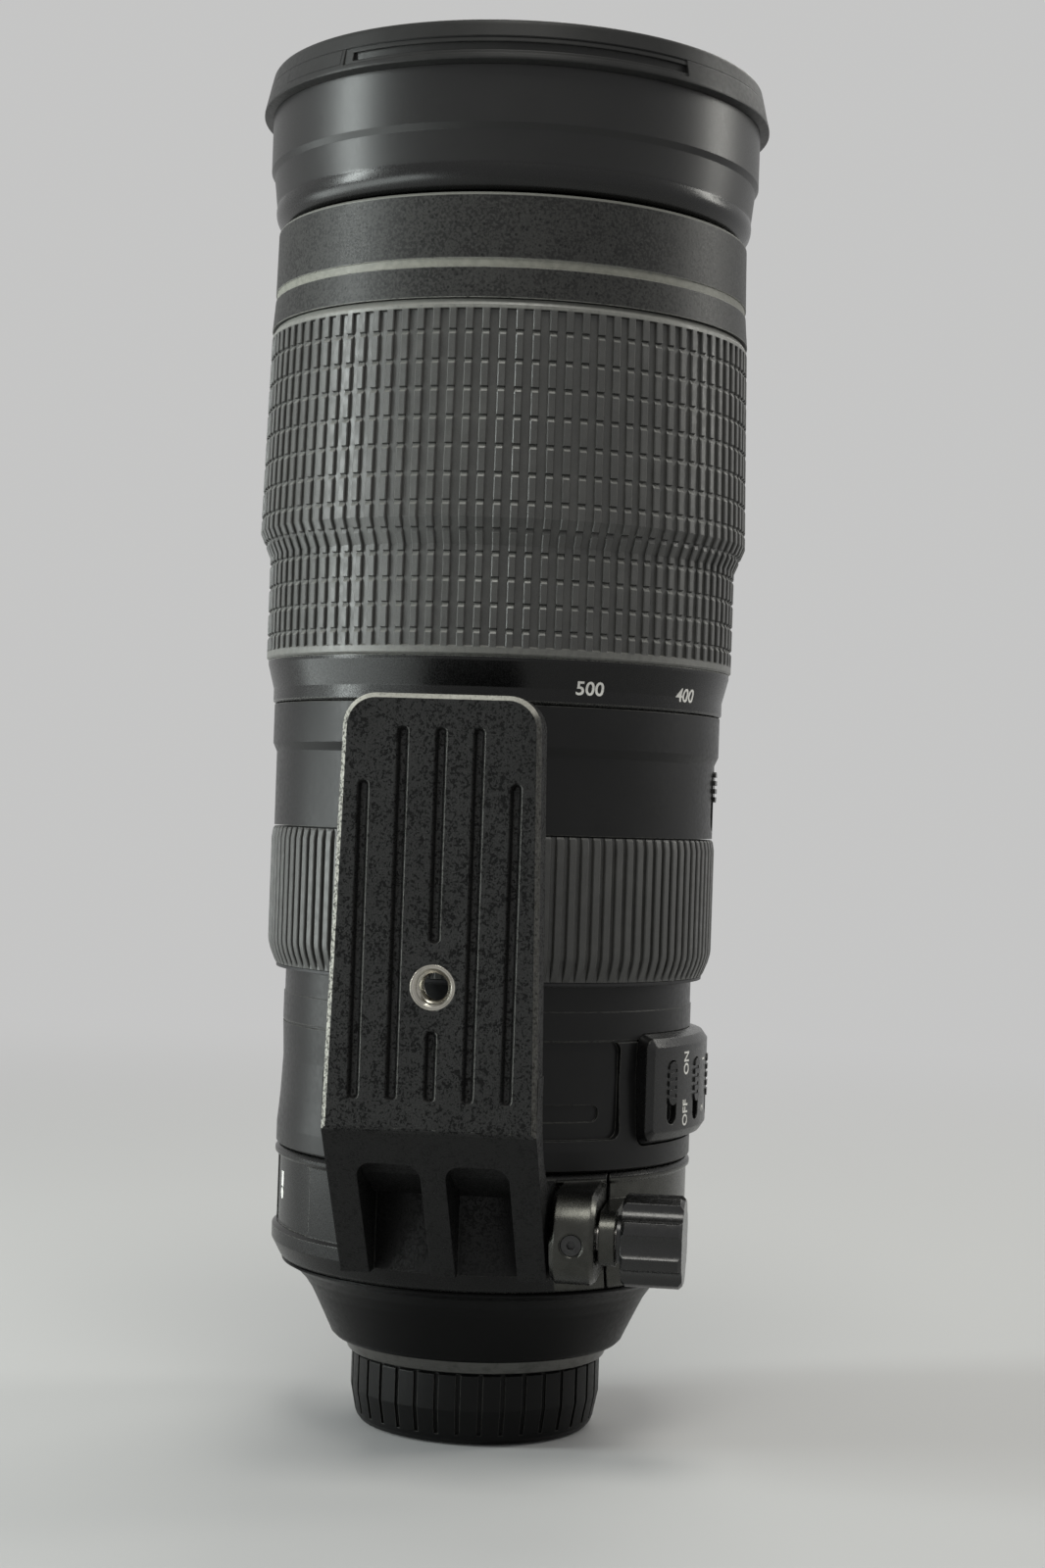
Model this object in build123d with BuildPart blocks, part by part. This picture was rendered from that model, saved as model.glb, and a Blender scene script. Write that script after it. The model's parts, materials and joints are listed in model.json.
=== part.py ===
"""Telephoto zoom lens standing on its rear cap, with its tripod collar and foot.

Millimetres. The optical axis is +Z, pointing at the subject. The origin is the centre of the
rear cap's flat end. The tripod foot points along -Y, and angles round the lens are counted
from there towards +X. The lens is drawn at its shortest zoom setting, focused at infinity.
"""

import os
from math import cos, degrees, radians, sin, sqrt

from build123d import *

# Fits and small allowances shared by all pieces
seat_gap = 0.1  # between two pieces that are fixed to each other
slide_gap = 0.3  # between two pieces that move past each other
pin_gap = 0.08  # round a screw that turns in its hole
overrun = 2.0  # how far a cutting shape passes the surface that it cuts
edge_break = 0.4  # chamfer on a moulded edge
turned_break = 0.2  # chamfer on a turned metal edge
low_round_share = 0.22  # of a rounded corner's depth, where its first flat ends
high_round_share = 0.62  # of a rounded corner's depth, where its second flat ends
full_turn = 360.0  # degrees

# Lengths along the axis, from the rear cap's end to the front rim
cap_height = 14.9
cap_clearance = 0.4
mount_height = 2.6
cone_length = 16.6
collar_length = 23.4
rear_length = 32.1
band_length = 5.3
focus_length = 29.3
middle_length = 25.9
scale_length = 8.9
grip_length = 69.5
sleeve_front_length = 20.8
front_clearance = 0.7
barrel_length = 23.7
rim_length = 8.7

# Heights that follow from them
flange_height = cap_height + cap_clearance
cone_height = flange_height + mount_height
collar_rear = cone_height + cone_length
collar_front = collar_rear + collar_length
band_rear = collar_front + rear_length
focus_rear = band_rear + band_length
focus_front = focus_rear + focus_length
zoom_rear = focus_front + middle_length
grip_rear = zoom_rear + scale_length
grip_front = grip_rear + grip_length
zoom_front = grip_front + sleeve_front_length
barrel_rear = zoom_front + front_clearance
rim_rear = barrel_rear + barrel_length
front_height = rim_rear + rim_length

# Radii of the nested tubes, from the axis outwards
extension_bore = 40.2
tube_wall = 1.5
extension_radius = extension_bore + tube_wall
guide_bore = extension_radius + slide_gap
guide_radius = guide_bore + tube_wall
cam_bore = guide_radius + slide_gap
cam_radius = cam_bore + tube_wall
sleeve_bore = cam_radius + 2 * seat_gap

# Zoom action
zoom_throw = 150.0  # degrees between the ends of the zoom scale
extension_travel = 75.0
roller_count = 3
roller_radius = 1.5
roller_gap = 0.15  # between a roller and the sides of its slots
roller_setback = 7.5  # from the rear edge of the zoom ring
roller_angle = 60.0
slot_margin = 4.0  # tube left beyond the ends of the cam slots
roller_height = zoom_rear + roller_setback
tube_rear = roller_height - roller_radius - slot_margin
roller_slot_width = 2 * (roller_radius + roller_gap)

# Front glass and its cell
cell_step = 6.0  # height of the glass seat above the cell's rear face
cell_setback = 5.6  # from the barrel's rear edge to the cell's rear face
cell_flange = 3.1  # thickness of the barrel's flange that covers the cell
cell_ledge_width = 2.3
glass_ledge = 2.5
cell_wall = 3.0
front_glass_edge = 6.0
front_glass_rise = 5.5
retainer_width = 2.0
retainer_thickness = 2.0
retainer_lift = 0.6
second_glass_thickness = 8.0
second_glass_setback = 13.0  # from the cell's rear face to the glass's rear face
second_ledge = 1.2
cell_rear = barrel_rear + cell_setback
cell_front = rim_rear - cell_flange
cell_ledge_height = cell_rear + cell_step
cell_ledge_radius = extension_bore + cell_ledge_width
front_glass_radius = cell_ledge_radius + glass_ledge
cell_radius = front_glass_radius + cell_wall
glass_edge = cell_ledge_height + front_glass_edge
glass_top = glass_edge + front_glass_rise
retainer_bore = front_glass_radius - retainer_width
second_glass_rear = cell_rear - second_glass_setback

# Front barrel
barrel_lip_step = 2.0  # depth of the rounded tail
barrel_curve = 4.8  # height of the rounded tail
tail_bulge_out = 0.72  # where the curve's middle lies, as shares of its depth and height
tail_bulge_up = 0.3
barrel_taper = 0.7
barrel_step = 0.7
barrel_step_setback = 11.3  # from the rim to the step
barrel_step_height = 1.2
barrel_wall = 2.2
barrel_lip_radius = cell_radius + slide_gap + seat_gap
barrel_tail_radius = barrel_lip_radius + barrel_lip_step
barrel_lower_radius = barrel_tail_radius + barrel_taper
barrel_radius = barrel_lower_radius + barrel_step
barrel_step_high = rim_rear - barrel_step_setback
barrel_step_low = barrel_step_high - barrel_step_height

# Front rim, with filter thread and hood bayonet
rim_overhang = 1.9
rim_slope = 1.6
rim_wall = 4.6
rim_ledge = 0.9
rim_round = 1.0
thread_floor = 1.2  # from the rim's rear face to the thread's shoulder
relief_height = 0.7
relief_depth = 0.6  # undercut at the end of the thread
rim_radius = barrel_radius + rim_overhang
rim_top_radius = rim_radius - rim_slope
thread_radius = rim_top_radius - rim_wall
rim_ledge_radius = thread_radius - rim_ledge
thread_shoulder = rim_rear + thread_floor
bayonet_count = 3
bayonet_span = 77.3
bayonet_centre = 8.5
bayonet_lift = 2.3  # of the slot above the rim's rear face
bayonet_width = 1.7
bayonet_depth = 1.5
track_lift = 1.6
track_width = 3.4
track_depth = 0.35
track_lead = 2.4  # degrees that the shallow track starts before the slot
track_low_share = 0.1  # of the rim's slope, at the track's rear edge
track_high_share = 0.5
bayonet_low = rim_rear + bayonet_lift
track_low = rim_rear + track_lift
track_high = track_low + track_width

# Zoom sleeve, the shell that the hand turns through its rubber grip
sleeve_wall = 1.9
sleeve_front_step = 2.35
sleeve_shoulder_step = 3.1
sleeve_flange_step = 1.5
scale_step = 0.2
scale_flat = 3.0
stripe_setback = 14.7
stripe_width = 1.7
stripe_depth = 0.25
sleeve_seat_radius = sleeve_bore + sleeve_wall
sleeve_front_radius = sleeve_seat_radius + sleeve_front_step
sleeve_shoulder_radius = sleeve_seat_radius + sleeve_shoulder_step
sleeve_flange_radius = sleeve_seat_radius + sleeve_flange_step
scale_radius = sleeve_seat_radius + scale_step
stripe_low = zoom_front - stripe_setback

# Rubber zoom grip
grip_small_step = 1.9
grip_big_step = 4.05
grip_end_step = 3.1
slope_low_share = 0.311  # of the grip's length, where the slope starts
slope_high_share = 0.386  # and where it ends
grip_rim_front = 2.2
grip_rim_rear = 2.0
grip_groove_count = 96
grip_groove_width = 1.7
grip_groove_depth = 0.9
grip_small_radius = sleeve_seat_radius + grip_small_step
grip_big_radius = sleeve_seat_radius + grip_big_step
grip_end_radius = sleeve_seat_radius + grip_end_step

# Fixed middle barrel, with the zoom lock
middle_wall = 3.0
middle_front_step = 0.8
middle_front_length = 8.4
middle_slope = 1.8
lock_slot_length = 13.0
lock_slot_width = 7.4
lock_slot_depth = 1.6
lock_setback = 17.7  # from the zoom ring's rear edge to the middle of the slot
lock_angle = 90.0
lock_length = 6.4
lock_proud = 0.6
lock_rib_count = 3
middle_radius = guide_radius + middle_wall
middle_front_radius = middle_radius + middle_front_step
lock_slot_height = zoom_rear - lock_setback

# Focus ring
focus_wall = 1.0
focus_rubber = 2.5
focus_end_rubber = 0.7
focus_chamfer = 6.2
focus_lip = 0.6
focus_groove_count = 112
focus_groove_width = 0.9
focus_groove_depth = 0.8
focus_sleeve_radius = guide_radius + focus_wall
focus_grip_radius = focus_sleeve_radius + focus_rubber
focus_end_radius = focus_sleeve_radius + focus_end_rubber

# Rear barrel, as steps in from the dark band behind the focus ring
rear_bore_step = 1.0  # from the guide tube's bore
rear_wall = 2.0
rear_step = 0.2
rear_swell_step = 0.8
rear_hip_step = 0.55
rear_waist_step = 0.1
rear_shoulder_gap = 0.4
swell_share = 0.14  # of the rear barrel's length, where the swell ends
hip_share = 0.34
waist_share = 0.58
seam_setback = 5.7
seam_width = 0.5
seam_depth = 0.3
seat_step = 1.0
seat_wall = 1.8
ledge_setback = 2.1
rear_bore = guide_bore - rear_bore_step
band_radius = rear_bore + rear_wall
rear_radius = band_radius + rear_step
rear_swell_radius = band_radius + rear_swell_step
rear_waist_radius = band_radius - rear_waist_step
rear_hip_radius = rear_swell_radius - rear_hip_step
collar_seat_radius = rear_bore - seat_step
rear_seat_bore = collar_seat_radius - seat_wall
rear_shoulder = collar_front + rear_shoulder_gap
rear_ledge_height = collar_front + ledge_setback
seam_height = band_rear - seam_setback

# Bare recess beside the foot, and the window over the distance scale
recess_lift = 6.7  # above the collar
recess_height = 19.4
recess_start = -40.0
recess_end = 47.0
recess_depth = 0.7
recess_corner = 2.0
recess_slot_lift = 3.5
recess_slot_height = 3.4
recess_slot_span = 62.0
recess_slot_margin = 6.2
recess_slot_depth = 0.5
window_angle = 180.0
window_span = 40.0
window_lift = 6.6
window_height = 17.0
window_thickness = 1.2
window_rebate = 1.4
window_rebate_depth = 1.3
recess_low = collar_front + recess_lift
window_low = collar_front + window_lift

# Switch panel and its four sliders
panel_start = 53.2
panel_end = 113.8
panel_lift = 4.9
panel_height = 22.6
panel_rise = 3.7
panel_low_slope = 1.7
panel_high_slope = 1.3
panel_side_break = 1.2
panel_corner = 2.0
panel_bed_depth = 0.9
switch_count = 4
switch_pitch = 14.1
switch_drop = 0.5  # of the slots below the panel's middle
switch_slot_length = 13.0
switch_slot_width = 3.7
switch_slot_depth = 1.5
slider_length = 8.8
slider_width = 3.1
slider_proud = 0.3
slider_rib_count = 4
slider_rib_pitch = 1.7
slider_rib_depth = 0.45
slider_rib_width = 0.7
panel_low = collar_front + panel_lift
panel_high = panel_low + panel_height
panel_radius = rear_radius + panel_rise
panel_bed_radius = rear_radius - panel_bed_depth
switch_slot_height = (panel_low + panel_high) / 2 - switch_drop

# Tail cone: its outline is a table of shares of its radius and of its height
cone_top_step = 1.8
cone_shares = ((0.788, 0.873), (0.629, 0.747), (0.508, 0.608), (0.424, 0.476), (0.197, 0.102))
cone_hollow_radius_share = 0.44
cone_hollow_height_share = 0.476
cone_wall = 2.4
cone_floor = 2.7  # width of the floor inside the circle of the mount's screws
cone_top_radius = collar_seat_radius + cone_top_step

# Metal mount
mount_radius = 27.3
mount_flare = 0.9
mount_throat_depth = 5.0
mount_throat_step = 5.4
mount_wall = 2.3
tab_rise = 1.9
tab_setback = 0.1
tab_thickness = 1.8
tab_count = 3
tab_span = 56.0
tab_start = 20.0
mount_screw_count = 5
mount_screw_inset = 2.1
mount_screw_radius = 1.3
mount_screw_shank = 0.8
mount_screw_length = 4.6
mount_screw_head = 1.2
mount_top_radius = mount_radius + mount_flare
cone_end_radius = mount_top_radius + edge_break
mount_throat_radius = mount_radius - mount_throat_step
mount_bore = mount_throat_radius - mount_wall
mount_throat_end = flange_height - mount_throat_depth
tab_radius = mount_throat_radius + tab_rise
tab_low = mount_throat_end + tab_setback
tab_high = tab_low + tab_thickness
mount_screw_circle = mount_radius - mount_screw_inset
cone_bore = mount_screw_circle - cone_floor

# Rear cap
cap_step = 1.0
cap_lug_setback = 0.5
cap_foot_step = 3.7
cap_low_step = 1.0
cap_wall = 2.0
cap_round_height = 2.4
cap_floor = 2.0
cap_lug_width = 2.0
cap_groove_count = 36
cap_groove_width = 0.9
cap_groove_depth = 0.55
lug_margin = 3.0  # degrees that the cap's lugs are shorter at each end than the tabs
cap_top_radius = mount_radius - cap_step
cap_low_radius = cap_top_radius - cap_low_step
cap_foot_radius = cap_top_radius - cap_foot_step
cap_bore = cap_top_radius - cap_wall
cap_lug_low = tab_high + edge_break
cap_lug_high = cap_height - cap_lug_setback

# Tripod collar, as steps from the radius of its ring
ring_wall = 2.95
collar_lip_step = 0.65
collar_bead_step = 0.85
collar_tail_step = 0.85
collar_break = 0.7
collar_lip_length = 1.4
bead_low = 3.9
bead_high = 6.5
lining_setback = 2.5
lining_thickness = 0.8
collar_bore = collar_seat_radius + slide_gap
collar_radius = collar_bore + ring_wall
collar_lip_radius = collar_radius + collar_lip_step
collar_bead_radius = collar_radius + collar_bead_step
collar_tail_radius = collar_radius - collar_tail_step
collar_lip_height = collar_front - collar_lip_length
lining_low = collar_rear + lining_setback
lining_high = collar_front - lining_setback

# Foot of the collar
foot_stand = 28.75  # from the ring to the face that rests on a tripod head
foot_thickness = 8.5
foot_length = 81.8
foot_lift = 11.0
foot_half_front = 18.6
foot_half_rear = 20.3
foot_corner = 6.3
foot_bevel = 0.9
foot_height = collar_radius + foot_stand
foot_rear = collar_front + foot_lift
foot_front = foot_rear + foot_length
groove_pitch = 7.2
groove_width = 2.3
groove_depth = 1.1
groove_taper = 32.0
groove_margin = 5.9
groove_inner_share = 0.927  # of the foot's length, where the three middle grooves end
groove_outer_share = 0.802  # and the two outer ones
groove_break = 8.0  # half length of the break for the tripod screw
bush_share = 0.334  # of the foot's length, where the tripod screw goes
bush_radius = 4.3
bush_bore = 3.175
bush_break = 0.4
groove_rear = foot_rear + groove_margin
groove_front_inner = foot_rear + foot_length * groove_inner_share
groove_front_outer = foot_rear + foot_length * groove_outer_share
bush_height = foot_rear + foot_length * bush_share

# Neck between the ring and the foot
neck_toe_lift = 3.9
neck_front_setback = 0.9
neck_root_step = 4.35
neck_inset = 9.0
neck_under_lift = 11.1
neck_curve_share = 0.72
neck_curve_rise_share = 0.3
pocket_half_gap = 2.4
pocket_outer = 14.6
pocket_setback = 6.5
pocket_corner = 3.0
pocket_back_step = 2.15
pocket_high_share = 0.57
pocket_low_share = 0.39
neck_toe = collar_rear + neck_toe_lift
neck_front = collar_front - neck_front_setback
neck_root = collar_radius + neck_root_step
neck_under = foot_rear + neck_under_lift
pocket_top = foot_rear - pocket_setback
pocket_low = collar_rear - overrun
pocket_back = collar_radius + pocket_back_step

# Clamp of the collar, on an axis across the lens
clamp_step = 2.75  # of the clamp's axis outside the ring
clamp_setback = 10.5
ear_radius = 9.15
ear_start = 21.2
ear_length = 8.6
ear_break = 0.9
ear_reach = 24.0  # how far the ears run from the clamp screw towards the ring
split_width = 0.5
nut_ear_radius = 5.3
nut_ear_length = 3.1
clamp_screw_radius = 2.5
knob_gap = 1.4
knob_length = 11.8
knob_radius = 8.95
knob_hub_radius = 4.6
knob_flute_count = 8
knob_flute_radius = 3.4
knob_flute_depth = 1.15
knob_break = 0.7
knob_bore_share = 0.6  # of the knob's length that the clamp screw fills
set_screw_drop = 0.4
set_screw_radius = 2.0
set_screw_recess = 0.35
set_screw_length = 2.4
set_screw_sunk = 0.6
set_screw_sides = 6
set_screw_socket = 0.9
set_screw_socket_depth = 1.0
clamp_axis = collar_radius + clamp_step
clamp_height = collar_front - clamp_setback
set_screw_height = clamp_height - set_screw_drop
ear_end = ear_start + ear_length
nut_ear_start = ear_end + split_width
nut_ear_end = nut_ear_start + nut_ear_length
knob_start = nut_ear_end + knob_gap
knob_hub_start = nut_ear_end + slide_gap
screw_end = knob_start + knob_length * knob_bore_share

# Index pad on the collar
pad_start = -81.0
pad_end = -45.3
pad_setback = 1.9
pad_depth = 0.45
pad_corner = 1.6
pad_low = collar_rear + bead_high + collar_break
pad_high = collar_front - pad_setback

# Optical and electrical units inside
variator_lift = 5.4
variator_length = 16.0
variator_wall = 7.7
variator_glass = 8.0
variator_seat = 4.0
focus_cell_lift = 4.7
focus_cell_length = 16.0
focus_cell_wall = 8.7
focus_glass = 7.0
focus_seat = 4.0
cell_ledge = 1.5
unit_flange = 2.4
unit_length = 22.0
unit_wall = 17.4
unit_glass = 7.0
drum_thickness = 1.4
drum_gap = 0.6
drum_length = 18.4
motor_length = 6.6
motor_wall = 10.0
iris_setback = 7.9
iris_length = 6.5
iris_wall = 22.7
board_thickness = 1.6
board_wall = 17.2
tail_wall = 3.2
tail_setback = 3.6
tail_glass = 6.0
tail_step = 0.8
contact_span = 58.0
contact_start = 200.0
contact_width = 2.4
contact_lift = 0.7
contact_length = 6.0
slide_radius = guide_bore - slide_gap
variator_rear = focus_front + variator_lift
variator_bore = slide_radius - variator_wall
focus_cell_rear = focus_rear + focus_cell_lift
focus_cell_bore = slide_radius - focus_cell_wall
drum_bore = rear_bore - drum_gap - drum_thickness
unit_radius = drum_bore - 2 * slide_gap
unit_bore = unit_radius - unit_wall
motor_rear = focus_rear - slide_gap - motor_length
motor_bore = rear_bore - motor_wall
iris_rear = collar_front - iris_setback
iris_bore = rear_seat_bore - iris_wall
board_rear = iris_rear - board_thickness - slide_gap
board_bore = rear_seat_bore - board_wall
tail_cell_radius = mount_bore + tail_step
tail_glass_radius = tail_cell_radius - tail_wall
tail_glass_rear = cone_height + tail_setback


def facing(angle, radius, height):
    """Plane that looks outwards from the axis at an angle counted from the foot."""
    turn = radians(angle)
    outward = (sin(turn), -cos(turn), 0)
    along = (cos(turn), sin(turn), 0)
    origin = (radius * outward[0], radius * outward[1], height)
    return Plane(origin=origin, x_dir=along, z_dir=outward)


def section(angle):
    """Half plane through the axis at an angle from the foot: local x is the radius, y is Z."""
    turn = radians(angle)
    along = (sin(turn), -cos(turn), 0)
    return Plane(origin=(0, 0, 0), x_dir=along, z_dir=(-cos(turn), -sin(turn), 0))


def outline(*points):
    """Straight-sided face in the open sketch, with its corners where they are given."""
    Polygon(*points, align=None)


def band(inner, outer, low, high):
    """Rectangle between two radii and two heights in the open sketch."""
    outline((inner, low), (outer, low), (outer, high), (inner, high))


def between(first, second, share):
    """Value that lies a share of the way from the first to the second."""
    return first + (second - first) * share


def round_over(inner, outer):
    """Two profile points that round the corner from a flat end to the side above it."""
    first = (
        between(inner[0], outer[0], high_round_share),
        between(inner[1], outer[1], low_round_share),
    )
    second = (
        between(inner[0], outer[0], 1 - low_round_share / 2),
        between(inner[1], outer[1], high_round_share),
    )
    return first, second


def dome_drop(radius, rise):
    """How far a spherical dome has dropped below its crown half way out to its edge."""
    sphere = (radius**2 + rise**2) / (2 * rise)
    return sphere - sqrt(sphere**2 - radius**2 / 4)


def spaced(count, start=0):
    """Angles of equal steps round the lens, in degrees."""
    return [start + step * full_turn / count for step in range(count)]


def cut_grooves(width, radius, count):
    """Cuts equal grooves with radial sides round the open part, from the sketch made last."""
    groove = revolve(axis=Axis.Z, revolution_arc=degrees(width / radius), mode=Mode.PRIVATE)
    with PolarLocations(0, count):
        add(groove, mode=Mode.SUBTRACT)


os.makedirs("parts", exist_ok=True)

# Front rim: filter thread inside, hood bayonet outside
with BuildPart() as front_rim:
    with BuildSketch(Plane.XZ):
        rim_edge = (rim_top_radius, front_height - rim_round)
        rim_face = (rim_top_radius - rim_round, front_height)
        outline(
            (rim_ledge_radius, rim_rear),
            (barrel_radius + seat_gap, rim_rear),
            (rim_radius, rim_rear + edge_break),
            (rim_radius, rim_rear + 2 * edge_break),
            rim_edge,
            *reversed(round_over(rim_face, rim_edge)),
            rim_face,
            (thread_radius + edge_break, front_height),
            (thread_radius, front_height - edge_break),
            (thread_radius, thread_shoulder + relief_height),
            (thread_radius + relief_depth, thread_shoulder + relief_height),
            (thread_radius + relief_depth, thread_shoulder),
            (rim_ledge_radius, thread_shoulder),
        )
    revolve(axis=Axis.Z)
    for start in spaced(bayonet_count, bayonet_centre - bayonet_span / 2):
        with BuildSketch(section(start)):
            band(
                rim_radius - bayonet_depth,
                rim_radius + overrun,
                bayonet_low,
                bayonet_low + bayonet_width,
            )
        revolve(axis=Axis.Z, revolution_arc=bayonet_span, mode=Mode.SUBTRACT)
        with BuildSketch(section(start - track_lead)):
            outline(
                (between(rim_radius, rim_top_radius, track_low_share) - track_depth, track_low),
                (rim_radius + overrun, track_low),
                (rim_radius + overrun, track_high),
                (between(rim_radius, rim_top_radius, track_high_share) - track_depth, track_high),
            )
        revolve(axis=Axis.Z, revolution_arc=bayonet_span + track_lead, mode=Mode.SUBTRACT)
front_rim.part.label = "front_rim"
export_step(front_rim.part, "parts/front_rim.step")

# Outer shell of the front barrel, with its rounded tail
with BuildPart() as front_barrel:
    with BuildSketch(Plane.XZ):
        with BuildLine():
            barrel_lip = (barrel_lip_radius, barrel_rear)
            barrel_tail = (barrel_tail_radius, barrel_rear + barrel_curve)
            tail_middle = (
                between(barrel_lip_radius, barrel_tail_radius, tail_bulge_out),
                barrel_rear + barrel_curve * tail_bulge_up,
            )
            ThreePointArc(barrel_lip, tail_middle, barrel_tail)
            Polyline(
                barrel_tail,
                (barrel_lower_radius, barrel_step_low),
                (barrel_radius, barrel_step_high),
                (barrel_radius, rim_rear),
                (rim_ledge_radius, rim_rear),
                (rim_ledge_radius, cell_front),
                (barrel_radius - barrel_wall, cell_front),
                (barrel_radius - barrel_wall, barrel_step_high),
                (barrel_lip_radius - seat_gap, barrel_rear + barrel_curve),
                (barrel_lip_radius - seat_gap, barrel_rear),
                barrel_lip,
            )
        make_face()
    revolve(axis=Axis.Z)
front_barrel.part.label = "front_barrel"
export_step(front_barrel.part, "parts/front_barrel.step")

# Metal cell that holds the front glass on the extension tube
with BuildPart() as front_cell:
    with BuildSketch(Plane.XZ):
        outline(
            (extension_bore, cell_rear),
            (cell_radius, cell_rear),
            (cell_radius, cell_front),
            (front_glass_radius + seat_gap, cell_front),
            (front_glass_radius + seat_gap, cell_ledge_height),
            (cell_ledge_radius, cell_ledge_height),
            (extension_bore, cell_ledge_height - tube_wall),
        )
    revolve(axis=Axis.Z)
front_cell.part.label = "front_cell"
export_step(front_cell.part, "parts/front_cell.step")

# Front glass, domed towards the subject
with BuildPart() as front_element:
    with BuildSketch(Plane.XZ):
        with BuildLine():
            dome_middle = glass_top - dome_drop(front_glass_radius, front_glass_rise)
            Polyline(
                (0, glass_top),
                (0, cell_ledge_height),
                (front_glass_radius, cell_ledge_height),
                (front_glass_radius, glass_edge),
            )
            ThreePointArc(
                (front_glass_radius, glass_edge),
                (front_glass_radius / 2, dome_middle),
                (0, glass_top),
            )
        make_face()
    revolve(axis=Axis.Z)
front_element.part.label = "front_element"
export_step(front_element.part, "parts/front_element.step")

# Threaded ring that keeps the front glass in its cell
with BuildPart() as front_retainer:
    with BuildSketch(Plane.XY.offset(glass_edge + retainer_lift)):
        Circle(front_glass_radius)
        Circle(retainer_bore, mode=Mode.SUBTRACT)
    extrude(amount=retainer_thickness)
front_retainer.part.label = "front_retainer"
export_step(front_retainer.part, "parts/front_retainer.step")

# Dished trim ring between the filter thread and the glass
with BuildPart() as front_trim:
    with BuildSketch(Plane.XZ):
        trim_radius = thread_radius - seat_gap
        outline(
            (trim_radius, thread_shoulder),
            (trim_radius, thread_shoulder + edge_break),
            (retainer_bore + edge_break, cell_front + edge_break),
            (retainer_bore, cell_front + edge_break),
            (retainer_bore, cell_front),
            (front_glass_radius - edge_break, cell_front),
            (rim_ledge_radius - seat_gap, thread_shoulder),
        )
    revolve(axis=Axis.Z)
front_trim.part.label = "front_trim"
export_step(front_trim.part, "parts/front_trim.step")

# Extension tube: slides out of the lens and carries everything at the front
with BuildPart() as extension_tube:
    with BuildSketch(Plane.XY.offset(tube_rear)):
        Circle(extension_radius)
        Circle(extension_bore, mode=Mode.SUBTRACT)
    extrude(amount=cell_rear - tube_rear)
    with BuildSketch(Plane.XY.offset(second_glass_rear - second_ledge)):
        Circle(extension_bore + seat_gap)
        Circle(extension_bore - second_ledge, mode=Mode.SUBTRACT)
    extrude(amount=second_ledge)
    for angle in spaced(roller_count, roller_angle):
        with BuildSketch(facing(angle, 0, roller_height)):
            Circle(roller_radius + seat_gap)
        extrude(amount=extension_radius + overrun, mode=Mode.SUBTRACT)
extension_tube.part.label = "extension_tube"
export_step(extension_tube.part, "parts/extension_tube.step")

# Second glass of the front group, inside the extension tube
with BuildPart() as second_element:
    with BuildSketch(Plane.XY.offset(second_glass_rear)):
        Circle(extension_bore - seat_gap)
    extrude(amount=second_glass_thickness)
second_element.part.label = "second_element"
export_step(second_element.part, "parts/second_element.step")

# Three rollers that follow the straight and the curved slots
with BuildPart() as cam_rollers:
    for angle in spaced(roller_count, roller_angle):
        with BuildSketch(facing(angle, extension_bore, roller_height)):
            Circle(roller_radius)
        extrude(amount=cam_radius - seat_gap - extension_bore)
cam_rollers.part.label = "cam_rollers"
export_step(cam_rollers.part, "parts/cam_rollers.step")

# Guide tube: fixed, with straight slots that keep the extension tube from turning
with BuildPart() as guide_tube:
    guide_rear = focus_rear - slide_gap
    with BuildSketch(Plane.XY.offset(guide_rear)):
        Circle(guide_radius)
        Circle(guide_bore, mode=Mode.SUBTRACT)
    extrude(amount=zoom_front - tube_wall - guide_rear)
    for angle in spaced(roller_count, roller_angle):
        with BuildSketch(facing(angle, 0, roller_height + extension_travel / 2)):
            SlotOverall(extension_travel + roller_slot_width, roller_slot_width, rotation=90)
        extrude(amount=guide_radius + overrun, mode=Mode.SUBTRACT)
guide_tube.part.label = "guide_tube"
export_step(guide_tube.part, "parts/guide_tube.step")

# One curved slot: it climbs the extension travel over the zoom throw
with BuildPart() as cam_slot:
    with BuildLine(Plane.XY.offset(roller_height)) as slot_path:
        Helix(
            pitch=extension_travel * full_turn / zoom_throw,
            height=extension_travel,
            radius=(cam_bore + cam_radius) / 2,
            lefthand=True,
        )
    slot_start = Plane(origin=slot_path.line @ 0, z_dir=slot_path.line % 0, x_dir=(1, 0, 0))
    with BuildSketch(slot_start):
        Rectangle(tube_wall + 2 * overrun, roller_slot_width)
    sweep(is_frenet=True)

# Cam barrel: turns with the zoom ring, and its curved slots push the rollers along
with BuildPart() as cam_barrel:
    with BuildSketch(Plane.XY.offset(tube_rear)):
        Circle(cam_radius)
        Circle(cam_bore, mode=Mode.SUBTRACT)
    extrude(amount=extension_travel + 2 * (roller_radius + slot_margin))
    with PolarLocations(0, roller_count, start_angle=roller_angle - 90):
        add(cam_slot.part, mode=Mode.SUBTRACT)
    for first in spaced(roller_count, roller_angle):
        for angle, rise in ((first, 0), (first - zoom_throw, extension_travel)):
            with BuildSketch(facing(angle, 0, roller_height + rise)):
                Circle(roller_slot_width / 2)
            extrude(amount=cam_radius + overrun, mode=Mode.SUBTRACT)
cam_barrel.part.label = "cam_barrel"
export_step(cam_barrel.part, "parts/cam_barrel.step")

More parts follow.
